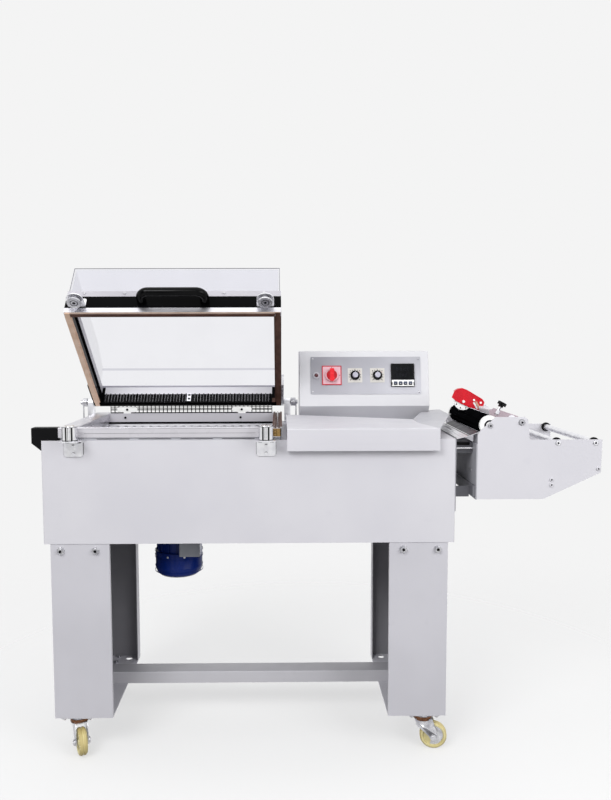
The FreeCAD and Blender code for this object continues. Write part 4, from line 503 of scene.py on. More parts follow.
# dark hexagons painted as the shade in the frame bolts' sockets, front and back
mesh = bmesh.new()
back = facing((0, boltSocket["rear"], 0), (0, 1, 0))
for x in boltSocket["places"]:
    hexagon(mesh, front, (x, boltSocket["height"], boltSocket["headDepth"]), boltSocket["radius"], 0.15)
    hexagon(mesh, back, (-x, boltSocket["height"], -0.5), boltSocket["radius"], 0.5)
extra(mesh, "bolt_sockets", [plastic["rubber"]], "machine")
print("stand and cabinet dressed")


# casters
casterWheel = {"hub": 9.5, "tread": 36.5}  # radii where the finish changes
dress("caster_plates", [metal["zinc"], metal["race"]], 0.5, facePick=lambda c, n: 1 if c.z < 99 else 0)
for corner in ("front_left", "front_right", "rear_left", "rear_right"):
    dress("caster_fork_" + corner, [metal["zinc"], metal["race"]], 0.5,
          facePick=lambda c, n: 1 if 88 < c.z < 97 and abs(n.z) < 0.9 else 0)
    low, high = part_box("caster_wheel_" + corner)
    hub = fromFrame((low + high) / 2)

    def treadPick(c, n, hub=hub):
        reach = math.dist(c, hub)
        return 2 if reach < casterWheel["hub"] else 1 if reach > casterWheel["tread"] else 0
    dress("caster_wheel_" + corner, [plastic["cream"], plastic["creamWorn"], metal["zinc"]], 0.6,
          facePick=treadPick)
print("casters dressed")


# sealing frame and chamber
sealFrame = {"screws": (147, 517), "screwHeight": 905, "rearFace": 390, "leftBar": 97.5}


def sealPick(c, n):
    atRear = c.y > sealFrame["rearFace"]
    nearScrew = min(abs(c.x - x) for x in sealFrame["screws"]) < 8 and abs(c.z - sealFrame["screwHeight"]) < 6
    if atRear and c.y < 396.2 and nearScrew:
        return 2
    if n.y < -0.9 and (atRear or c.y < 12):
        return 3 if atRear else 4
    return 1 if c.x < sealFrame["leftBar"] and 22 < c.y < 397 else 0


dress("seal_frame", [metal["alongX"], metal["alongY"], plastic["blackMatt"], paint["anodised"],
                     paint["barFront"]], 0.5, facePick=sealPick)
dress("right_seal_bar", [metal["alongY"], tape["brown"]], 0.4,
      facePick=lambda c, n: 1 if n.z > 0.9 or n.x < -0.9 else 0)
# painted shadow: the gasket's front face under the rear bar takes black ink
dress("frame_gasket", [plastic["packing"], plastic["ink"]], 0.4,
      facePick=lambda c, n: 1 if n.y < -0.9 and c.y > 300 else 0)
dress("seal_wires", [metal["wire"], metal["brass"]], 0.3, islandPick=lambda low, high: 1 if high.y < 1 else 0)
dress("chamber_liner", [metal["stainless"], paint["paleTrim"]], 0.4,
      facePick=lambda c, n: 1 if n.y < -0.9 and c.z > 800 else 0)
dress("product_rack", metal["wire"], 0.0)
dress("baffle_plate", metal["stainless"], 0.4)
dress("heater_tubes", metal["wire"], 0.0)
dress("fan_wheel", metal["alongX"], 0.0)
dress("electromagnets", [metal["bracket"], metal["chrome"]], 0.5,
      islandPick=lambda low, high: 1 if low.z > 885 else 0)

# darker lines painted as the shade in the extruded front bar's groove and under its lip, with the packing's
# dashes under it
frontBar = {"groove": (117.0, 578.0, 903.0), "lip": (48.0, 622.0, 915.5),
            "dashes": (150, 262, 375, 487), "dashLength": 88, "dashHeight": (886.9, 888.0)}
mesh = bmesh.new()
for (left, right, z), tall in ((frontBar["groove"], 0.9), (frontBar["lip"], 0.7)):
    slab(mesh, front, (left, right), (z, z + tall), (0, 0.12), 0)
for x in frontBar["dashes"]:
    slab(mesh, front, (x, x + frontBar["dashLength"]), frontBar["dashHeight"], (-5.4, -4.5), 1)
extra(mesh, "front_bar_groove_shade", [metal["groove"], plastic["ink"]], "machine")

# hold-down magnets: potting ring, coil seams, and the screw of their brackets, with dark plates painted as
# the shade in the brackets' slots and as the shadow round their edges
magnet = {"places": (88.0, 606.5), "y": -34.0, "top": 928.0, "radius": 20.0, "potting": (13.0, 9.5),
          "seams": ((889.0, 2.2), (924.6, 1.4)), "screwHeight": 849}
magnetSlots = ((-20.5, -10.5, 877.6, 880.4), (10.5, 20.5, 877.6, 880.4), (-3.2, 3.2, 871.5, 873.6))
magnetShadows = ((-26.9, 26.9, 846, 878), (-20, 20, 839.2, 880))
mesh = bmesh.new()
for x in magnet["places"]:
    top = facing((x, magnet["y"], magnet["top"]), (0, 0, 1), (0, 1, 0))
    washer(mesh, top, (0, 0, -0.1), *magnet["potting"], 0.15, 1)
    for z, height in magnet["seams"]:
        shell = facing((x, magnet["y"], z), (0, 0, 1), (0, 1, 0))
        washer(mesh, shell, (0, 0, 0), magnet["radius"] + 0.15, magnet["radius"] - 1, height, 0)
    for rows, depth in ((magnetSlots, (3.9, 4.15)), (magnetShadows, (0.02, 0.6))):
        for left, right, lower, upper in rows:
            slab(mesh, front, (x + left, x + right), (lower, upper), depth, 0)
    button(mesh, front, (x, magnet["screwHeight"], 3.8), 4.0, 1.6, 0)
extra(mesh, "magnet_fittings", [metal["dark"], metal["brass"]], "machine")

# end block of the jaw: brass terminal between dark cheeks
terminal = {"cheeks": (612, 645), "cheek": 3, "height": (893, 917), "proud": 13.4, "x": 630,
            "screws": (898.5, 911.0)}
mesh = bmesh.new()
for x in terminal["cheeks"]:
    slab(mesh, front, (x, x + terminal["cheek"]), terminal["height"], (0, terminal["proud"]), 0)
for z in terminal["screws"]:
    button(mesh, front, (terminal["x"], z, 12.8), 3.6, 1.2, 1)
    # dark bars painted as the shade in the terminal screws' slots
    slab(mesh, front, (terminal["x"] - 2.6, terminal["x"] + 2.6), (z - 0.5, z + 0.5), (14.0, 14.1), 0)
extra(mesh, "terminal_frame", [metal["dark"], metal["brass"]], "machine", 0.2)
print("chamber dressed")


# motor
dress("motor_body", [paint["motorBlue"], plastic["terminalGrey"]], 0.6,
      facePick=lambda c, n: 1 if c.y < 137.5 and c.x > 350 else 0)
dress("motor_cowl", paint["motorBlue"], 0.0)
cowl = {"radius": 71.0, "screwAngles": (200, 250, 290, 340), "screwDrop": 10}
mesh = bmesh.new()
low, high = (fromFrame(p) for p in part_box("motor_cowl"))
middle = (low + high) / 2
for z, proud in ((high.z - 3.0, 0.6), (high.z - 21.0, 0.5), (low.z + 14.0, 0.5)):
    ring = facing((middle.x, middle.y, z), (0, 0, 1), (0, 1, 0))
    washer(mesh, ring, (0, 0, 0), cowl["radius"] + proud, cowl["radius"] - 0.5, 2.4, 0, 96)
for angle in cowl["screwAngles"]:
    a = math.radians(angle)
    out = Vector((math.cos(a), math.sin(a), 0))
    screw = facing(Vector((middle.x, middle.y, high.z - cowl["screwDrop"])) + cowl["radius"] * out, out)
    button(mesh, screw, (0, 0, -0.3), 3.2, 1.6, 1)
extra(mesh, "cowl_beads", [paint["motorBlue"], metal["zinc"]], "machine")
print("motor dressed")


# hood
# takes what is drawn on the shut hood to where it lies with the hood open
hingeAxis = at(0, hoodTurn["y"], hoodTurn["z"])
hingeTurn = Matrix.Rotation(-hoodTurn["angle"], 4, "X")
fromShut = Matrix.Translation(hingeAxis) @ hingeTurn @ Matrix.Translation(-hingeAxis)
hoodDepthwise = fromShut.to_3x3() @ Vector((0, 1, 0))

jaw = {"top": 939, "frontTape": 13, "rearTape": 421, "middle": 300, "strip": 975, "sides": (66, 626)}
jawCuts = [(fromShut @ at(0, jaw[edge], 930), hoodDepthwise) for edge in ("frontTape", "rearTape")]
jawCuts.append((at(jaw["middle"], 0, 930), Vector((1, 0, 0))))


def trimPick(c, n):
    p = shut(c)
    onLeft = p.x < jaw["middle"]
    tapedFace = n.y < -0.2 and n.z < -0.5
    if p.z < jaw["top"] and p.y > jaw["rearTape"]:
        return 4
    if p.z < jaw["top"] and p.y > 12:
        return 3 if not onLeft else 2 if tapedFace else 4
    if p.z > jaw["strip"]:
        return 5
    return 1 if not jaw["sides"][0] < p.x < jaw["sides"][1] and p.y > 14 else 0


comb = {"left": 80.0, "pitch": 9.585, "count": 56, "clip": (341.0, 358.0), "top": 954.6,
        "teeth": (922.5, 953.5), "angles": (63.9, 627.6)}


def combPick(c, n):
    p = shut(c)
    if p.z > comb["top"]:
        return 2
    return 1 if 409 < p.y < 418.9 and n.y < -0.7 and not 342 < c.x < 357 else None


def bendPick(c, n):  # the bends between the cover's flat walls
    tilt = abs(n.z * math.cos(hoodTurn["angle"]) + n.y * math.sin(hoodTurn["angle"]))
    return 1 if 0.05 < tilt < 0.96 else 0


def armPivotPick(c, n):
    return 1 if c.x > jaw["middle"] or math.hypot(c.y - hoodTurn["y"], c.z - hoodTurn["z"]) < 9 else 0


guard = {"screws": (153, 521), "screwHeight": 930, "thick": 1.4, "wire": 2.8, "rail": 2.6, "count": 20}


def guardPick(c, n):
    nearScrew = min(abs(c.x - x) for x in guard["screws"]) < 4.5 and abs(c.z - guard["screwHeight"]) < 5
    return 2 if c.y < 396.5 and nearScrew else None


dress("hood_bars", [paint["blackGloss"], paint["blackInside"]], 0.6,
      facePick=lambda c, n: 1 if abs(n.x) > 0.9 else 0)
dress("hood_trim", [metal["alongX"], metal["alongY"], tape["tan"], tape["brown"], paint["blackGloss"],
                    paint["clamp"]], 0.4, facePick=trimPick, cuts=jawCuts)
dress("seal_pads", [tape["tan"], tape["brown"]], 0.3,
      islandPick=lambda low, high: 1 if low.x > 300 or high.x - low.x > 300 else 0)
dress("hood_cover", [clear, clearEdge], 0.8, facePick=bendPick)
dress("hood_handle", plastic["blackGloss"], 0.0)
dress("armature_plates", [metal["bracket"], metal["zinc"]], 0.4,
      facePick=lambda c, n: 1 if shut(c).z < 941 else 0)
dress("hinge_arms", [paint["blackSatin"], metal["zinc"]], 0.5, facePick=armPivotPick)
dress("hood_comb", [paint["blackSatin"], paint["blackGloss"], paint["paleTrim"], metal["bracket"]], 0.0,
      islandPick=lambda low, high: 3 if high.x - low.x < 40 else 0, facePick=combPick)
dress("hinge_brackets", metal["bracket"], 0.6)
dress("hinge_springs", metal["zinc"], 0.0)
dress("rear_guard", [paint["blackSatin"], plastic["white"], metal["dark"]], 0.3,
      islandPick=lambda low, high: 1 if high.x - low.x < 90 else 0, facePick=guardPick)
dress("side_cover", paint["blackSatin"], 0.8)

# the mesh's fine wires, drawn as coarse as they need to show
low, high = (fromFrame(p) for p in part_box("rear_guard"))
mesh = bmesh.new()
step = (high.x - low.x - guard["thick"]) / guard["count"] / 2
for i in range(guard["count"] * 2 + 1):
    x = low.x + guard["thick"] / 2 + step * i
    across = (max(low.x, x - guard["wire"] / 2), min(high.x, x + guard["wire"] / 2))
    slab(mesh, front, across, (low.z + 0.2, high.z - 0.2), (0.1 - high.y, guard["thick"] - 0.1 - high.y), 0)
for z in (low.z + 1.6, (low.z + high.z) / 2, high.z - 1.4):
    tall = (z - guard["rail"] / 2, z + guard["rail"] / 2)
    slab(mesh, front, (low.x + 0.1, high.x - 0.1), tall, (0.2 - high.y, guard["thick"] - 0.2 - high.y), 0)
extra(mesh, "guard_fine_wires", [paint["blackSatin"]], "machine")

under = fromShut @ facing((0, 0, 922), (0, 0, -1), (0, 1, 0))
faceFront = fromShut @ facing((0, -5, 0), (0, -1, 0))

# the front jaw's tape: a pale fold in front of the dark strip, and a light edge behind it
jawTape = {"fold": ((-646, -46), (-4.6, 1.2)), "edge": ((-628, -64), (9.0, 14.8)), "depth": (-0.4, 0.1)}
mesh = bmesh.new()
slab(mesh, under, *jawTape["fold"], jawTape["depth"], 0)
slab(mesh, under, *jawTape["edge"], jawTape["depth"], 1)
extra(mesh, "front_jaw_tapes", [tape["peach"], metal["alongX"]], "hood")

# solvent-joined seams down the cover's front corners and along its top bend
seam = {"wide": 1.4, "topDrop": 3.0, "top": 1.2, "proud": 0.12}
low, high = extent([shut(fromFrame(v.co)) for v in frame["nodes"]["hood_cover"].data.vertices])
mesh = bmesh.new()
lift = -5 - low.y
seamDepth = (lift - 1.2, lift + seam["proud"])
for x in (low.x + 0.2, high.x - 0.2 - seam["wide"]):
    slab(mesh, faceFront, (x, x + seam["wide"]), (low.z + 4, high.z - 3.4), seamDepth, 0)
topSeam = (high.z - seam["topDrop"] - seam["top"], high.z - seam["topDrop"])
slab(mesh, faceFront, (low.x + 0.2, high.x - 0.2), topSeam, seamDepth, 0)
extra(mesh, "cover_seams", [plastic["seam"]], "hood")

# thin bright zinc lines along the comb, painted as the highlights on its teeth's edges, and the bright angle
# that holds the cover inside the side bars
mesh = bmesh.new()
for i in range(comb["count"]):
    x = comb["left"] + i * comb["pitch"]
    if not comb["clip"][0] < x < comb["clip"][1]:
        slab(mesh, faceFront, (x - 0.2, x + 0.2), comb["teeth"], (-425.2, -420.85), 0)
for x in comb["angles"]:
    slab(mesh, faceFront, (x, x + 0.5), (961, 982.4), (-425, -21), 1)
extra(mesh, "comb_highlight_lines", [metal["zinc"], paint["clamp"]], "hood")

# slotted screws of the clamp strip, sockets of the armatures' brackets, rings on the armatures' discs; the
# slots and sockets are dark marks painted as the shade in them
hoodScrews = {"strip": (92, 206, 486, 600), "stripHeight": 993, "brackets": (79, 604.5), "apart": 13,
              "bracketHeight": 963}
mesh = bmesh.new()
for x in hoodScrews["strip"]:
    z = hoodScrews["stripHeight"]
    button(mesh, faceFront, (x, z, 3.0), 3.6, 1.5, 0)
    slab(mesh, faceFront, (x - 2.6, x + 2.6), (z - 0.5, z + 0.5), (4.5, 4.6), 1)
for middle in hoodScrews["brackets"]:
    for x in (middle - hoodScrews["apart"], middle + hoodScrews["apart"]):
        button(mesh, faceFront, (x, hoodScrews["bracketHeight"], 2.8), 4.0, 1.8, 0)
        hexagon(mesh, faceFront, (x, hoodScrews["bracketHeight"], 4.6), 2.0, 0.1, 1)
    disc = fromShut @ facing((middle, magnet["y"], 928.6), (0, 0, -1), (0, 1, 0))
    washer(mesh, disc, (0, 0, -0.1), 19.0, 17.6, 0.3, 0)
    washer(mesh, disc, (0, 0, -0.1), 11.2, 9.0, 0.3, 1)
    button(mesh, disc, (0, 0, -0.1), 4.4, 0.5, 1)
extra(mesh, "hood_screws", [metal["zinc"], metal["dark"]], "hood")
print("hood dressed")


# control box
lean = math.atan2(38, 172)
panelOut = Vector((0, -math.cos(lean), math.sin(lean)))
panel = facing((705.5, 350, 944), panelOut)
dials = {"places": (177, 248), "height": 98, "cap": 10, "capTop": 16.5, "ticks": 11, "sweep": 270,
         "dots": 21.06}
switch = {"x": 103, "height": 98, "half": 31.0, "border": 3.2, "disc": 11.4, "rim": (20.8, 17.0)}
meter = {"x": 328, "height": 98, "half": 37.0, "rim": 1.6, "digits": 4, "keys": 4, "keyPitch": 15.6}


def panelPick(low, high):  # plate, switch plate, dial plates, lamp, corner screws, by their width
    width = high.x - low.x
    return sum(width <= limit for limit in (200, 58, 30, 10))


# painted shade: the console's chin, leaning back and down, takes the darker console paint
dress("control_box", [paint["console"], paint["chin"]], 0.9,
      facePick=lambda c, n: 1 if n.z < -0.3 and n.y < -0.3 else 0)
dress("control_panel", [paint["panel"], plastic["pink"], plastic["ivory"], plastic["lampRed"],
                        metal["zinc"]], 0.4, islandPick=panelPick)
dress("temperature_meter", plastic["blackMatt"], 0.5)
for key in "abcd":
    dress("meter_key_" + key, plastic["keyBlue"], 0.3)
dress("switch_knob", [plastic["red"], plastic["redBright"]], 0.6,
      facePick=lambda c, n: 1 if (panel.inverted() @ at(*c)).z > switch["disc"] + 0.5 else 0)
for side, x in zip(("left", "right"), dials["places"]):
    def capPick(c, n, x=x):
        local = panel.inverted() @ at(*c)
        flank = abs(n.dot(panelOut)) < 0.5
        reach = math.hypot(local.x - x, local.y - dials["height"])
        return 1 if local.z > dials["capTop"] or flank and reach < dials["cap"] else 0
    dress("dial_knob_" + side, [plastic["blackMatt"], plastic["greyCap"]], 0.5, facePick=capPick)

# scale marks and corner dots on the dials' plates, border and positions round the switch
mesh = bmesh.new()
for x in dials["places"]:
    for i in range(dials["ticks"]):
        turn = math.radians(-90 - (360 - dials["sweep"]) / 2 - i * dials["sweep"] / (dials["ticks"] - 1))
        mark = panel @ Matrix.Translation((x, dials["height"], 3.0)) @ Matrix.Rotation(turn, 4, "Z")
        long = i % 5 == 0
        slab(mesh, mark, (16.4, 21.2 if long else 19.6), (-0.7, 0.7), (0, 0.15), 1 if i == 7 else 0)
    for turn in (45, 135, 225, 315):
        a = math.radians(turn)
        dot = (x + dials["dots"] * math.cos(a), dials["height"] + dials["dots"] * math.sin(a), 2.9)
        button(mesh, panel, dot, 1.3, 0.5, 0, 16, 0.1)
half, inner = switch["half"], switch["half"] - switch["border"]
switchMiddle = panel @ Matrix.Translation((switch["x"], switch["height"], 5.0))
for side in ((-half, -inner), (inner, half)):
    slab(mesh, switchMiddle, (-half, half), side, (-0.1, 0.25), 1)
    slab(mesh, switchMiddle, side, (-half, half), (-0.1, 0.25), 1)
for turn in (90, 0):
    mark = switchMiddle @ Matrix.Rotation(math.radians(turn), 4, "Z")
    slab(mesh, mark, (23.2, 26.6), (-0.7, 0.7), (0, 0.2), 0)
extra(mesh, "panel_marks", [plastic["ink"], plastic["inkRed"]], "machine")

# the switch knob's disc: a pale rim that turns with it
mesh = bmesh.new()
washer(mesh, panel, (switch["x"], switch["height"], switch["disc"]), *switch["rim"], 0.15, 0)
extra(mesh, "switch_rim", [plastic["pink"]], bodyOf["switch_knob"])

# lamp: grey collar and domed lens; dark slots painted as the shade in the panel's corner screws
lamp = {"x": 54, "height": 98, "collar": 10.6, "lens": 5.5}
lensProfile = [(lamp["lens"], -2), (5.3, 0.8), (4.2, 2.2), (2.2, 3.0), (0, 3.2)]
panelScrews = {"x": (43.0, 379.0), "y": (43.0, 149.0)}
mesh = bmesh.new()
washer(mesh, panel, (lamp["x"], lamp["height"], 1.9), lamp["collar"], lamp["lens"], 4.3, 0)
lathe(mesh, panel, (lamp["x"], lamp["height"], 6.0), lensProfile, 1)
for x in panelScrews["x"]:
    for y in panelScrews["y"]:
        slab(mesh, panel, (x - 2.4, x + 2.4), (y - 0.4, y + 0.4), (3.6, 3.9), 2)
extra(mesh, "lamp_and_slots", [paint["clamp"], plastic["lampRed"], metal["dark"]], "machine")
print("control box dressed")

# meter: display window with unlit segments, pale lower strip round the keys
mesh = bmesh.new()
m, h, w = meter["x"], meter["height"], meter["half"]
inside = (m - w + meter["rim"], m + w - meter["rim"])
slab(mesh, panel, (m - w + 5.2, m + w - 5.2), (h - 14.8, h + w - 4.2), (8.6, 9.1), 0)
for base, tall, step in ((h + 14.0, 12.0, 11.5), (h - 5.0, 9.0, 9.0)):
    strokes = [((0, 6), (level, level + 1)) for level in (0, tall / 2 - 0.5, tall - 1)]
    strokes += [((edge, edge + 1), (0, tall)) for edge in (0, 5)]
    for i in range(meter["digits"]):
        digit = panel @ Matrix.Translation((m - 20 + i * step, base, 9.1))
        for across, upwards in strokes:
            slab(mesh, digit, across, upwards, (0, 0.06), 3)
for upwards in ((h - w + meter["rim"], h - w + 4.6), (h - w + 14.0, h - 16.0)):
    slab(mesh, panel, inside, upwards, (8.9, 9.15), 1)
for i in range(meter["keys"] + 1):
    x = m + (i - meter["keys"] / 2) * meter["keyPitch"]
    across = (max(x - 1.75, inside[0]), min(x + 1.75, inside[1]))
    slab(mesh, panel, across, (h - w + 4.6, h - w + 14.0), (8.9, 9.15), 1)
for i in range(meter["keys"]):
    x = m + (i - (meter["keys"] - 1) / 2) * meter["keyPitch"]
    slab(mesh, panel, (x - 1.6, x + 1.6), (h - w + 9.0, h - w + 9.9), (10.55, 10.7), 1)
extra(mesh, "meter_face", [plastic["display"], plastic["white"], plastic["blackMatt"],
                           plastic["blackSegment"]], "machine")


# tray
dress("product_tray", [paint["cabinet"], paint["inlet"]], 0.7,
      islandPick=lambda low, high: 1 if low.x > 1000 else 0)
apronHem = {"x": (663.3, 1072.7), "y": (856.0, 857.2), "z": (19.6, 21.9)}
mesh = bmesh.new()
slab(mesh, front, **apronHem)
extra(mesh, "apron_hem", [paint["stand"]], "machine")
print("tray dressed")


# unwinder
plate = {"y": 4.0, "shafts": ((1213.6, 919.4), (1398.7, 871.8), (1500.7, 871.8)), "pivot": (1298.5, 928.6),
         "bars": ((1510.0, 800.7), (1383.0, 771.3), (1383.0, 757.0))}
rollerBands = ((7, 21.5), (380.5, 395))


def unwinderPick(low, high):  # tells the frame's solids apart by their place and size
    size = high - low
    if high.x > 1200:
        return 4 if size.y > 9 else 1
    return 2 if size.z < 7 else 3 if size.z < 40 else 0


def rollerPick(c, n):
    if any(start < c.y < end for start, end in rollerBands):
        return 1
    return 2 if math.dist((c.x, c.z), plate["shafts"][0]) < 7 else 0


# painted shade: the front plate's inward-facing flange takes the darker grey
dress("unwinder_front_plate", [paint["cabinet"], paint["darkGrey"]], 0.7,
      facePick=lambda c, n: 1 if n.x < -0.6 and c.x < 1182 and c.y > 12 else 0)
dress("unwinder_rear_plate", paint["cabinet"], 0.7)
# painted shade: the back sheet and mount plate take the darker grey and the arms a still darker grey
dress("unwinder_frame", [paint["darkGrey"], paint["cabinet"], metal["chrome"], paint["steelGrey"],
                         metal["zinc"]], 0.4, islandPick=unwinderPick)
# painted shadow: a thin black strip across the unwinder's upper arm, under the film guide
armShadowStrip = {"x": (1124.2, 1168.4), "y": (861, 869.8), "z": (-45.98, -45.6)}
mesh = bmesh.new()
slab(mesh, front, **armShadowStrip)
extra(mesh, "arm_shadow_strip", [paint["blackSatin"]], "machine")
# painted reflection: the guide's upper strip, facing the roller, takes the dark grey instead of its steel
dress("film_guide", [metal["guideLow"], paint["guideRollerReflection"]], 0.3,
      facePick=lambda c, n: 1 if n.x < -0.2 and n.z > 0.2 and c.x > 1150 else 0)
dress("feed_roller", [plastic["rollerRubber"], plastic["white"], metal["zinc"]], 0.6, facePick=rollerPick)
guideTop = facing((1156, 3, 893), (-0.3474, 0, 0.9377), (0, 1, 0))
guideFoot = facing((1122, 3, 885), (-0.229, 0, 0.9734), (0, 1, 0))
# painted highlights and shadow: thin chrome lines along the upper strip's edges stand in for their
# highlights, black lines on the foot for the shadow along it
mesh = bmesh.new()
guideGlintAndShadowLines = ((guideTop, ((0.2, 1.9), (26.6, 28.6))), (guideFoot, ((32.6, 34.6), (0.2, 2.2))))
edgeLine = {"y": (1.0, 299.5), "z": (0.02, 0.3)}
for finish, (plane, spans) in enumerate(guideGlintAndShadowLines):
    for across in spans:
        slab(mesh, plane, across, **edgeLine, finish=finish)
extra(mesh, "guide_highlight_and_shadow_lines", [metal["chrome"], paint["blackSatin"]], "machine")
for side in ("left", "right"):
    dress("film_roller_" + side, [metal["bracket"], plastic["rubber"]], 0.4,
          islandPick=lambda low, high: 1 if high.y - low.y < 30 else 0)

wheel = {"x": 1189.0, "y": 214.0, "z": 969.5, "holes": 8, "circle": 21.5,
         "whiteScrews": ((1220.0, 973.5), (1240.0, 965.5))}


def armPick(c, n):
    spot = (c.x, c.z)
    if 202.5 < c.y < 222:
        if math.dist(spot, (wheel["x"], wheel["z"])) < 7.5:
            return 3
        if c.y < 205.9:
            return 3 if min(math.dist(spot, screw) for screw in wheel["whiteScrews"]) < 3.6 else 4
        return 0
    if 94 < c.y < 103 and math.dist(spot, plate["pivot"]) > 11.5:
        return 2
    return 5 if c.y > 20 else 1


# painted shade: the walls of the pin wheel's holes take black ink
def wheelPick(c, n):
    reach = math.dist((c.x, c.z), (wheel["x"], wheel["z"]))
    return 1 if reach > 27.0 else 2 if abs(n.y) < 0.3 and 18.5 < reach < 24.5 else 0


dress("perforator_arm", [plastic["red"], metal["zinc"], paint["mauve"], plastic["white"], plastic["tan"],
                         paint["paleTrim"]], 0.5, facePick=armPick)
dress("perforator_wheel", [plastic["white"], metal["zinc"], plastic["ink"]], 0.3, facePick=wheelPick)
dress("star_knob", [plastic["blackMatt"], metal["zinc"]], 0.6,
      facePick=lambda c, n: 1 if math.hypot(c.x - 1259, c.z - 948) < 13 else 0)

# dark plugs in the pin wheel's holes, painted as the shade seen in them; hub ring
mesh = bmesh.new()
wheelFront = facing((wheel["x"], wheel["y"], wheel["z"]), (0, -1, 0))
for i in range(wheel["holes"]):
    a = 2 * math.pi * (i + 0.5) / wheel["holes"]
    lathe(mesh, wheelFront, (wheel["circle"] * math.cos(a), wheel["circle"] * math.sin(a), -3.4),
          [(0, 0), (2.15, 0), (2.15, 6.8), (0, 6.8)], 0, 20)
washer(mesh, wheelFront, (0, 0, 3.9), 9.0, 5.0, 0.4, 1)
extra(mesh, "wheel_hole_shade_and_hub", [plastic["ink"], metal["zinc"]], "perforator_wheel")

# washers and sockets on the front plate's shafts and screws, and the ring round the feed roller's hub; the
# sockets are dark hexagons painted as the shade in them, and the dark ring is painted shade between the
# roller's cap and the plate
mesh = bmesh.new()
outside = facing((0, plate["y"], 0), (0, -1, 0))
for x, z in plate["shafts"]:
    washer(mesh, outside, (x, z, 0.05), 7.4, 6.4, 1.2, 0)
for x, z in plate["bars"]:
    hexagon(mesh, outside, (x, z, 3.0), 2.6, finish=1)
x, z = plate["pivot"]
washer(mesh, outside, (x, z, 0.05), 8.6, 6.4, 0.8, 1)
washer(mesh, outside, (x, z, 0.85), 7.8, 6.4, 1.4, 0)
extra(mesh, "plate_washers", [metal["zinc"], metal["dark"]], "machine")
for node, (x, z) in zip(("feed_roller", "film_roller_left", "film_roller_right"), plate["shafts"]):
    mesh = bmesh.new()
    hexagon(mesh, outside, (x, z, 3.0), 3.2)
    if node == "feed_roller":
        washer(mesh, outside, (x, z, -5.1), 15.4, 10.5, 0.3, 0)
    extra(mesh, node + "_socket", [metal["dark"]], node)
mesh = bmesh.new()
x, z = plate["pivot"]
hexagon(mesh, outside, (x, z, 6.0), 3.4)
extra(mesh, "pivot_socket", [metal["dark"]], "perforator_arm")

# screws in the opening beside the cabinet, their sockets painted dark as the shade in them
backScrews = {"x": 1176.5, "y": (60, 300), "z": (790, 735), "head": (5.0, 2.4), "socket": 2.6}
mesh = bmesh.new()
sideways = facing((backScrews["x"], 0, 0), (-1, 0, 0))
for z in backScrews["z"]:
    for y in backScrews["y"]:
        button(mesh, sideways, (-y, z, 0.0), *backScrews["head"], 0)
        hexagon(mesh, sideways, (-y, z, 2.4), backScrews["socket"], 0.1, 1)
extra(mesh, "back_sheet_screws", [metal["zinc"], metal["dark"]], "machine")
print("unwinder dressed")


# stage, light and camera
studio = {"background": "#F4F4F4", "floorRadius": 6.0, "world": 0.645, "below": 0.45}

floorMesh = bmesh.new()
bmesh.ops.create_circle(floorMesh, cap_ends=True, segments=96, radius=studio["floorRadius"])
floorData = bpy.data.meshes.new("floor")
floorMesh.to_mesh(floorData)
floorMesh.free()
floor = bpy.data.objects.new("floor", floorData)
bpy.context.scene.collection.objects.link(floor)
floor.visible_diffuse = False
floorPaint = bpy.data.materials.new("paleFloor")  # plain pale studio floor that fades out into the background
floorPaint.use_nodes = True
tree = floorPaint.node_tree
shader = tree.nodes["Principled BSDF"]
shader.inputs["Base Color"].default_value = linear("#F2F2F2")
shader.inputs["Roughness"].default_value = 0.9
coords = tree.nodes.new("ShaderNodeTexCoord").outputs["Object"]
reach = addNode(tree, "ShaderNodeVectorMath", {"operation": "LENGTH"}, {0: coords}).outputs["Value"]
fade = addNode(tree, "ShaderNodeMapRange", smooth(0.4, 2.4, 0.55, 1.0), {"Value": reach}).outputs[0]
through = addNode(tree, "ShaderNodeBsdfTransparent")
fading = addNode(tree, "ShaderNodeMixShader", None, {0: fade, 1: shader.outputs[0], 2: through.outputs[0]})
tree.links.new(fading.outputs[0], tree.nodes["Material Output"].inputs["Surface"])
floorData.materials.append(floorPaint)

world = bpy.data.worlds.new("studio")
bpy.context.scene.world = world
world.use_nodes = True
tree = world.node_tree
rays = tree.nodes.new("ShaderNodeLightPath").outputs
generated = tree.nodes.new("ShaderNodeTexCoord").outputs["Generated"]
direction = addNode(tree, "ShaderNodeSeparateXYZ", None, {0: generated}).outputs
dimming = smooth(-0.5, 0.1, studio["below"] * studio["world"], studio["world"])
lower = addNode(tree, "ShaderNodeMapRange", dimming, {"Value": direction["Z"]}).outputs[0]
ambient = tree.nodes["Background"]
ambient.inputs["Color"].default_value = (0.985, 0.985, 1, 1)
tree.links.new(lower, ambient.inputs["Strength"])
# what shiny things mirror: a bright ceiling and floor, and upright white boards with dark gaps between them
side = addNode(tree, "ShaderNodeMath", {"operation": "MULTIPLY_ADD", 1: 0.5, 2: 0.5},
               {0: direction["X"]}).outputs[0]
boards = addNode(tree, "ShaderNodeValToRGB", None, {"Fac": side})
ramp = boards.color_ramp
stops = ((0.0, 0.9), (0.05, 0.9), (0.09, 0.03), (0.22, 0.03), (0.26, 1.0), (0.34, 0.95), (0.36, 0.03),
         (0.41, 0.03), (0.43, 0.95), (0.56, 0.95), (0.59, 0.4), (0.61, 0.4), (0.64, 0.95), (0.72, 1.0),
         (0.76, 0.03), (0.9, 0.03), (0.95, 0.9), (1.0, 0.9))
for i, (place, level) in enumerate(stops):
    stop = ramp.elements[i] if i < 2 else ramp.elements.new(place)
    stop.position = place
    stop.color = (level, level, level, 1)
mirrored = boards.outputs["Color"]
ceiling, ground = ("Z", smooth(0.2, 0.6, 0.0, 1.1)), ("Z", smooth(-0.1, -0.5, 0.0, 0.6))
backdrop = ("Y", smooth(0.1, 0.5, 0.0, 0.95))
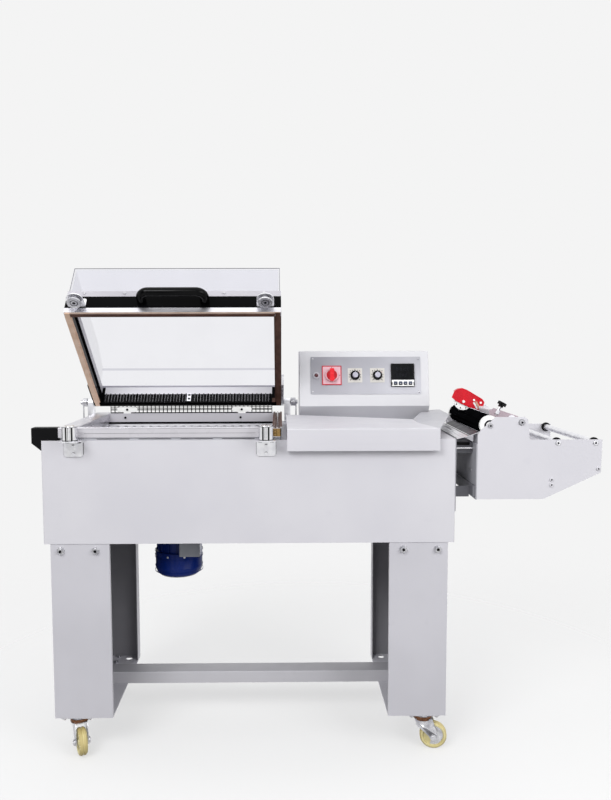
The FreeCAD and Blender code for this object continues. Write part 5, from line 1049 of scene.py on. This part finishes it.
for axis, settings in (ceiling, ground, backdrop):
    glow = addNode(tree, "ShaderNodeMapRange", settings, {"Value": direction[axis]}).outputs[0]
    mirrored = addNode(tree, "ShaderNodeMath", {"operation": "MAXIMUM"}, {0: mirrored, 1: glow}).outputs[0]
shine = addNode(tree, "ShaderNodeBackground", {"Color": (1, 1, 1, 1)}, {"Strength": mirrored})
seen = addNode(tree, "ShaderNodeBackground", {"Color": linear(studio["background"]), "Strength": 1.0})
lighting = addNode(tree, "ShaderNodeMixShader", None,
                   {0: rays["Is Glossy Ray"], 1: ambient.outputs[0], 2: shine.outputs[0]})
surroundings = addNode(tree, "ShaderNodeMixShader", None,
                       {0: rays["Is Camera Ray"], 1: lighting.outputs[0], 2: seen.outputs[0]})
tree.links.new(surroundings.outputs[0], tree.nodes["World Output"].inputs["Surface"])


def softBox(name, place, target, size, power):
    light = bpy.data.lights.new(name, "AREA")
    light.shape = "RECTANGLE"
    light.size, light.size_y = size
    light.energy = power
    holder = bpy.data.objects.new(name, light)
    bpy.context.scene.collection.objects.link(holder)
    holder.location = at(*place)
    holder.rotation_euler = (at(*target) - holder.location).to_track_quat("-Z", "Y").to_euler()
    return holder


softBox("keyLight", (-900, -2600, 2900), (560, 200, 800), (1.8, 1.4), 72)
softBox("fillLight", (2600, -1800, 1900), (560, 200, 700), (1.6, 1.6), 34)
softBox("backFill", (700, 3600, 1000), (560, 400, 700), (2.4, 1.8), 34).visible_glossy = False
softBox("topLight", (560, 400, 3200), (560, 240, 800), (2.4, 1.6), 8)

view = {"place": (644.74, -2008.49, 1151.35), "yaw": 0.56, "pitch": 4.54, "roll": -0.16, "lens": 33.75,
        "shiftX": 0.0225}
yaw, pitch, roll = (math.radians(view[k]) for k in ("yaw", "pitch", "roll"))
ahead = Vector((math.sin(yaw) * math.cos(pitch), math.cos(yaw) * math.cos(pitch), -math.sin(pitch)))
level = Vector((math.cos(yaw), -math.sin(yaw), 0))
upward = level.cross(ahead)
right = level * math.cos(roll) + upward * math.sin(roll)
upward = upward * math.cos(roll) - level * math.sin(roll)
cameraData = bpy.data.cameras.new("camera")
cameraData.sensor_width = 36
cameraData.lens = view["lens"]
cameraData.shift_x = view["shiftX"]
cameraData.clip_end = 60
camera = bpy.data.objects.new("camera", cameraData)
bpy.context.scene.collection.objects.link(camera)
cameraAxes = Matrix((right, upward, -ahead)).transposed().to_4x4()
camera.matrix_world = Matrix.Translation(at(*view["place"])) @ cameraAxes
bpy.context.scene.camera = camera
bpy.context.scene.view_settings.view_transform = "Standard"
print("stage set")
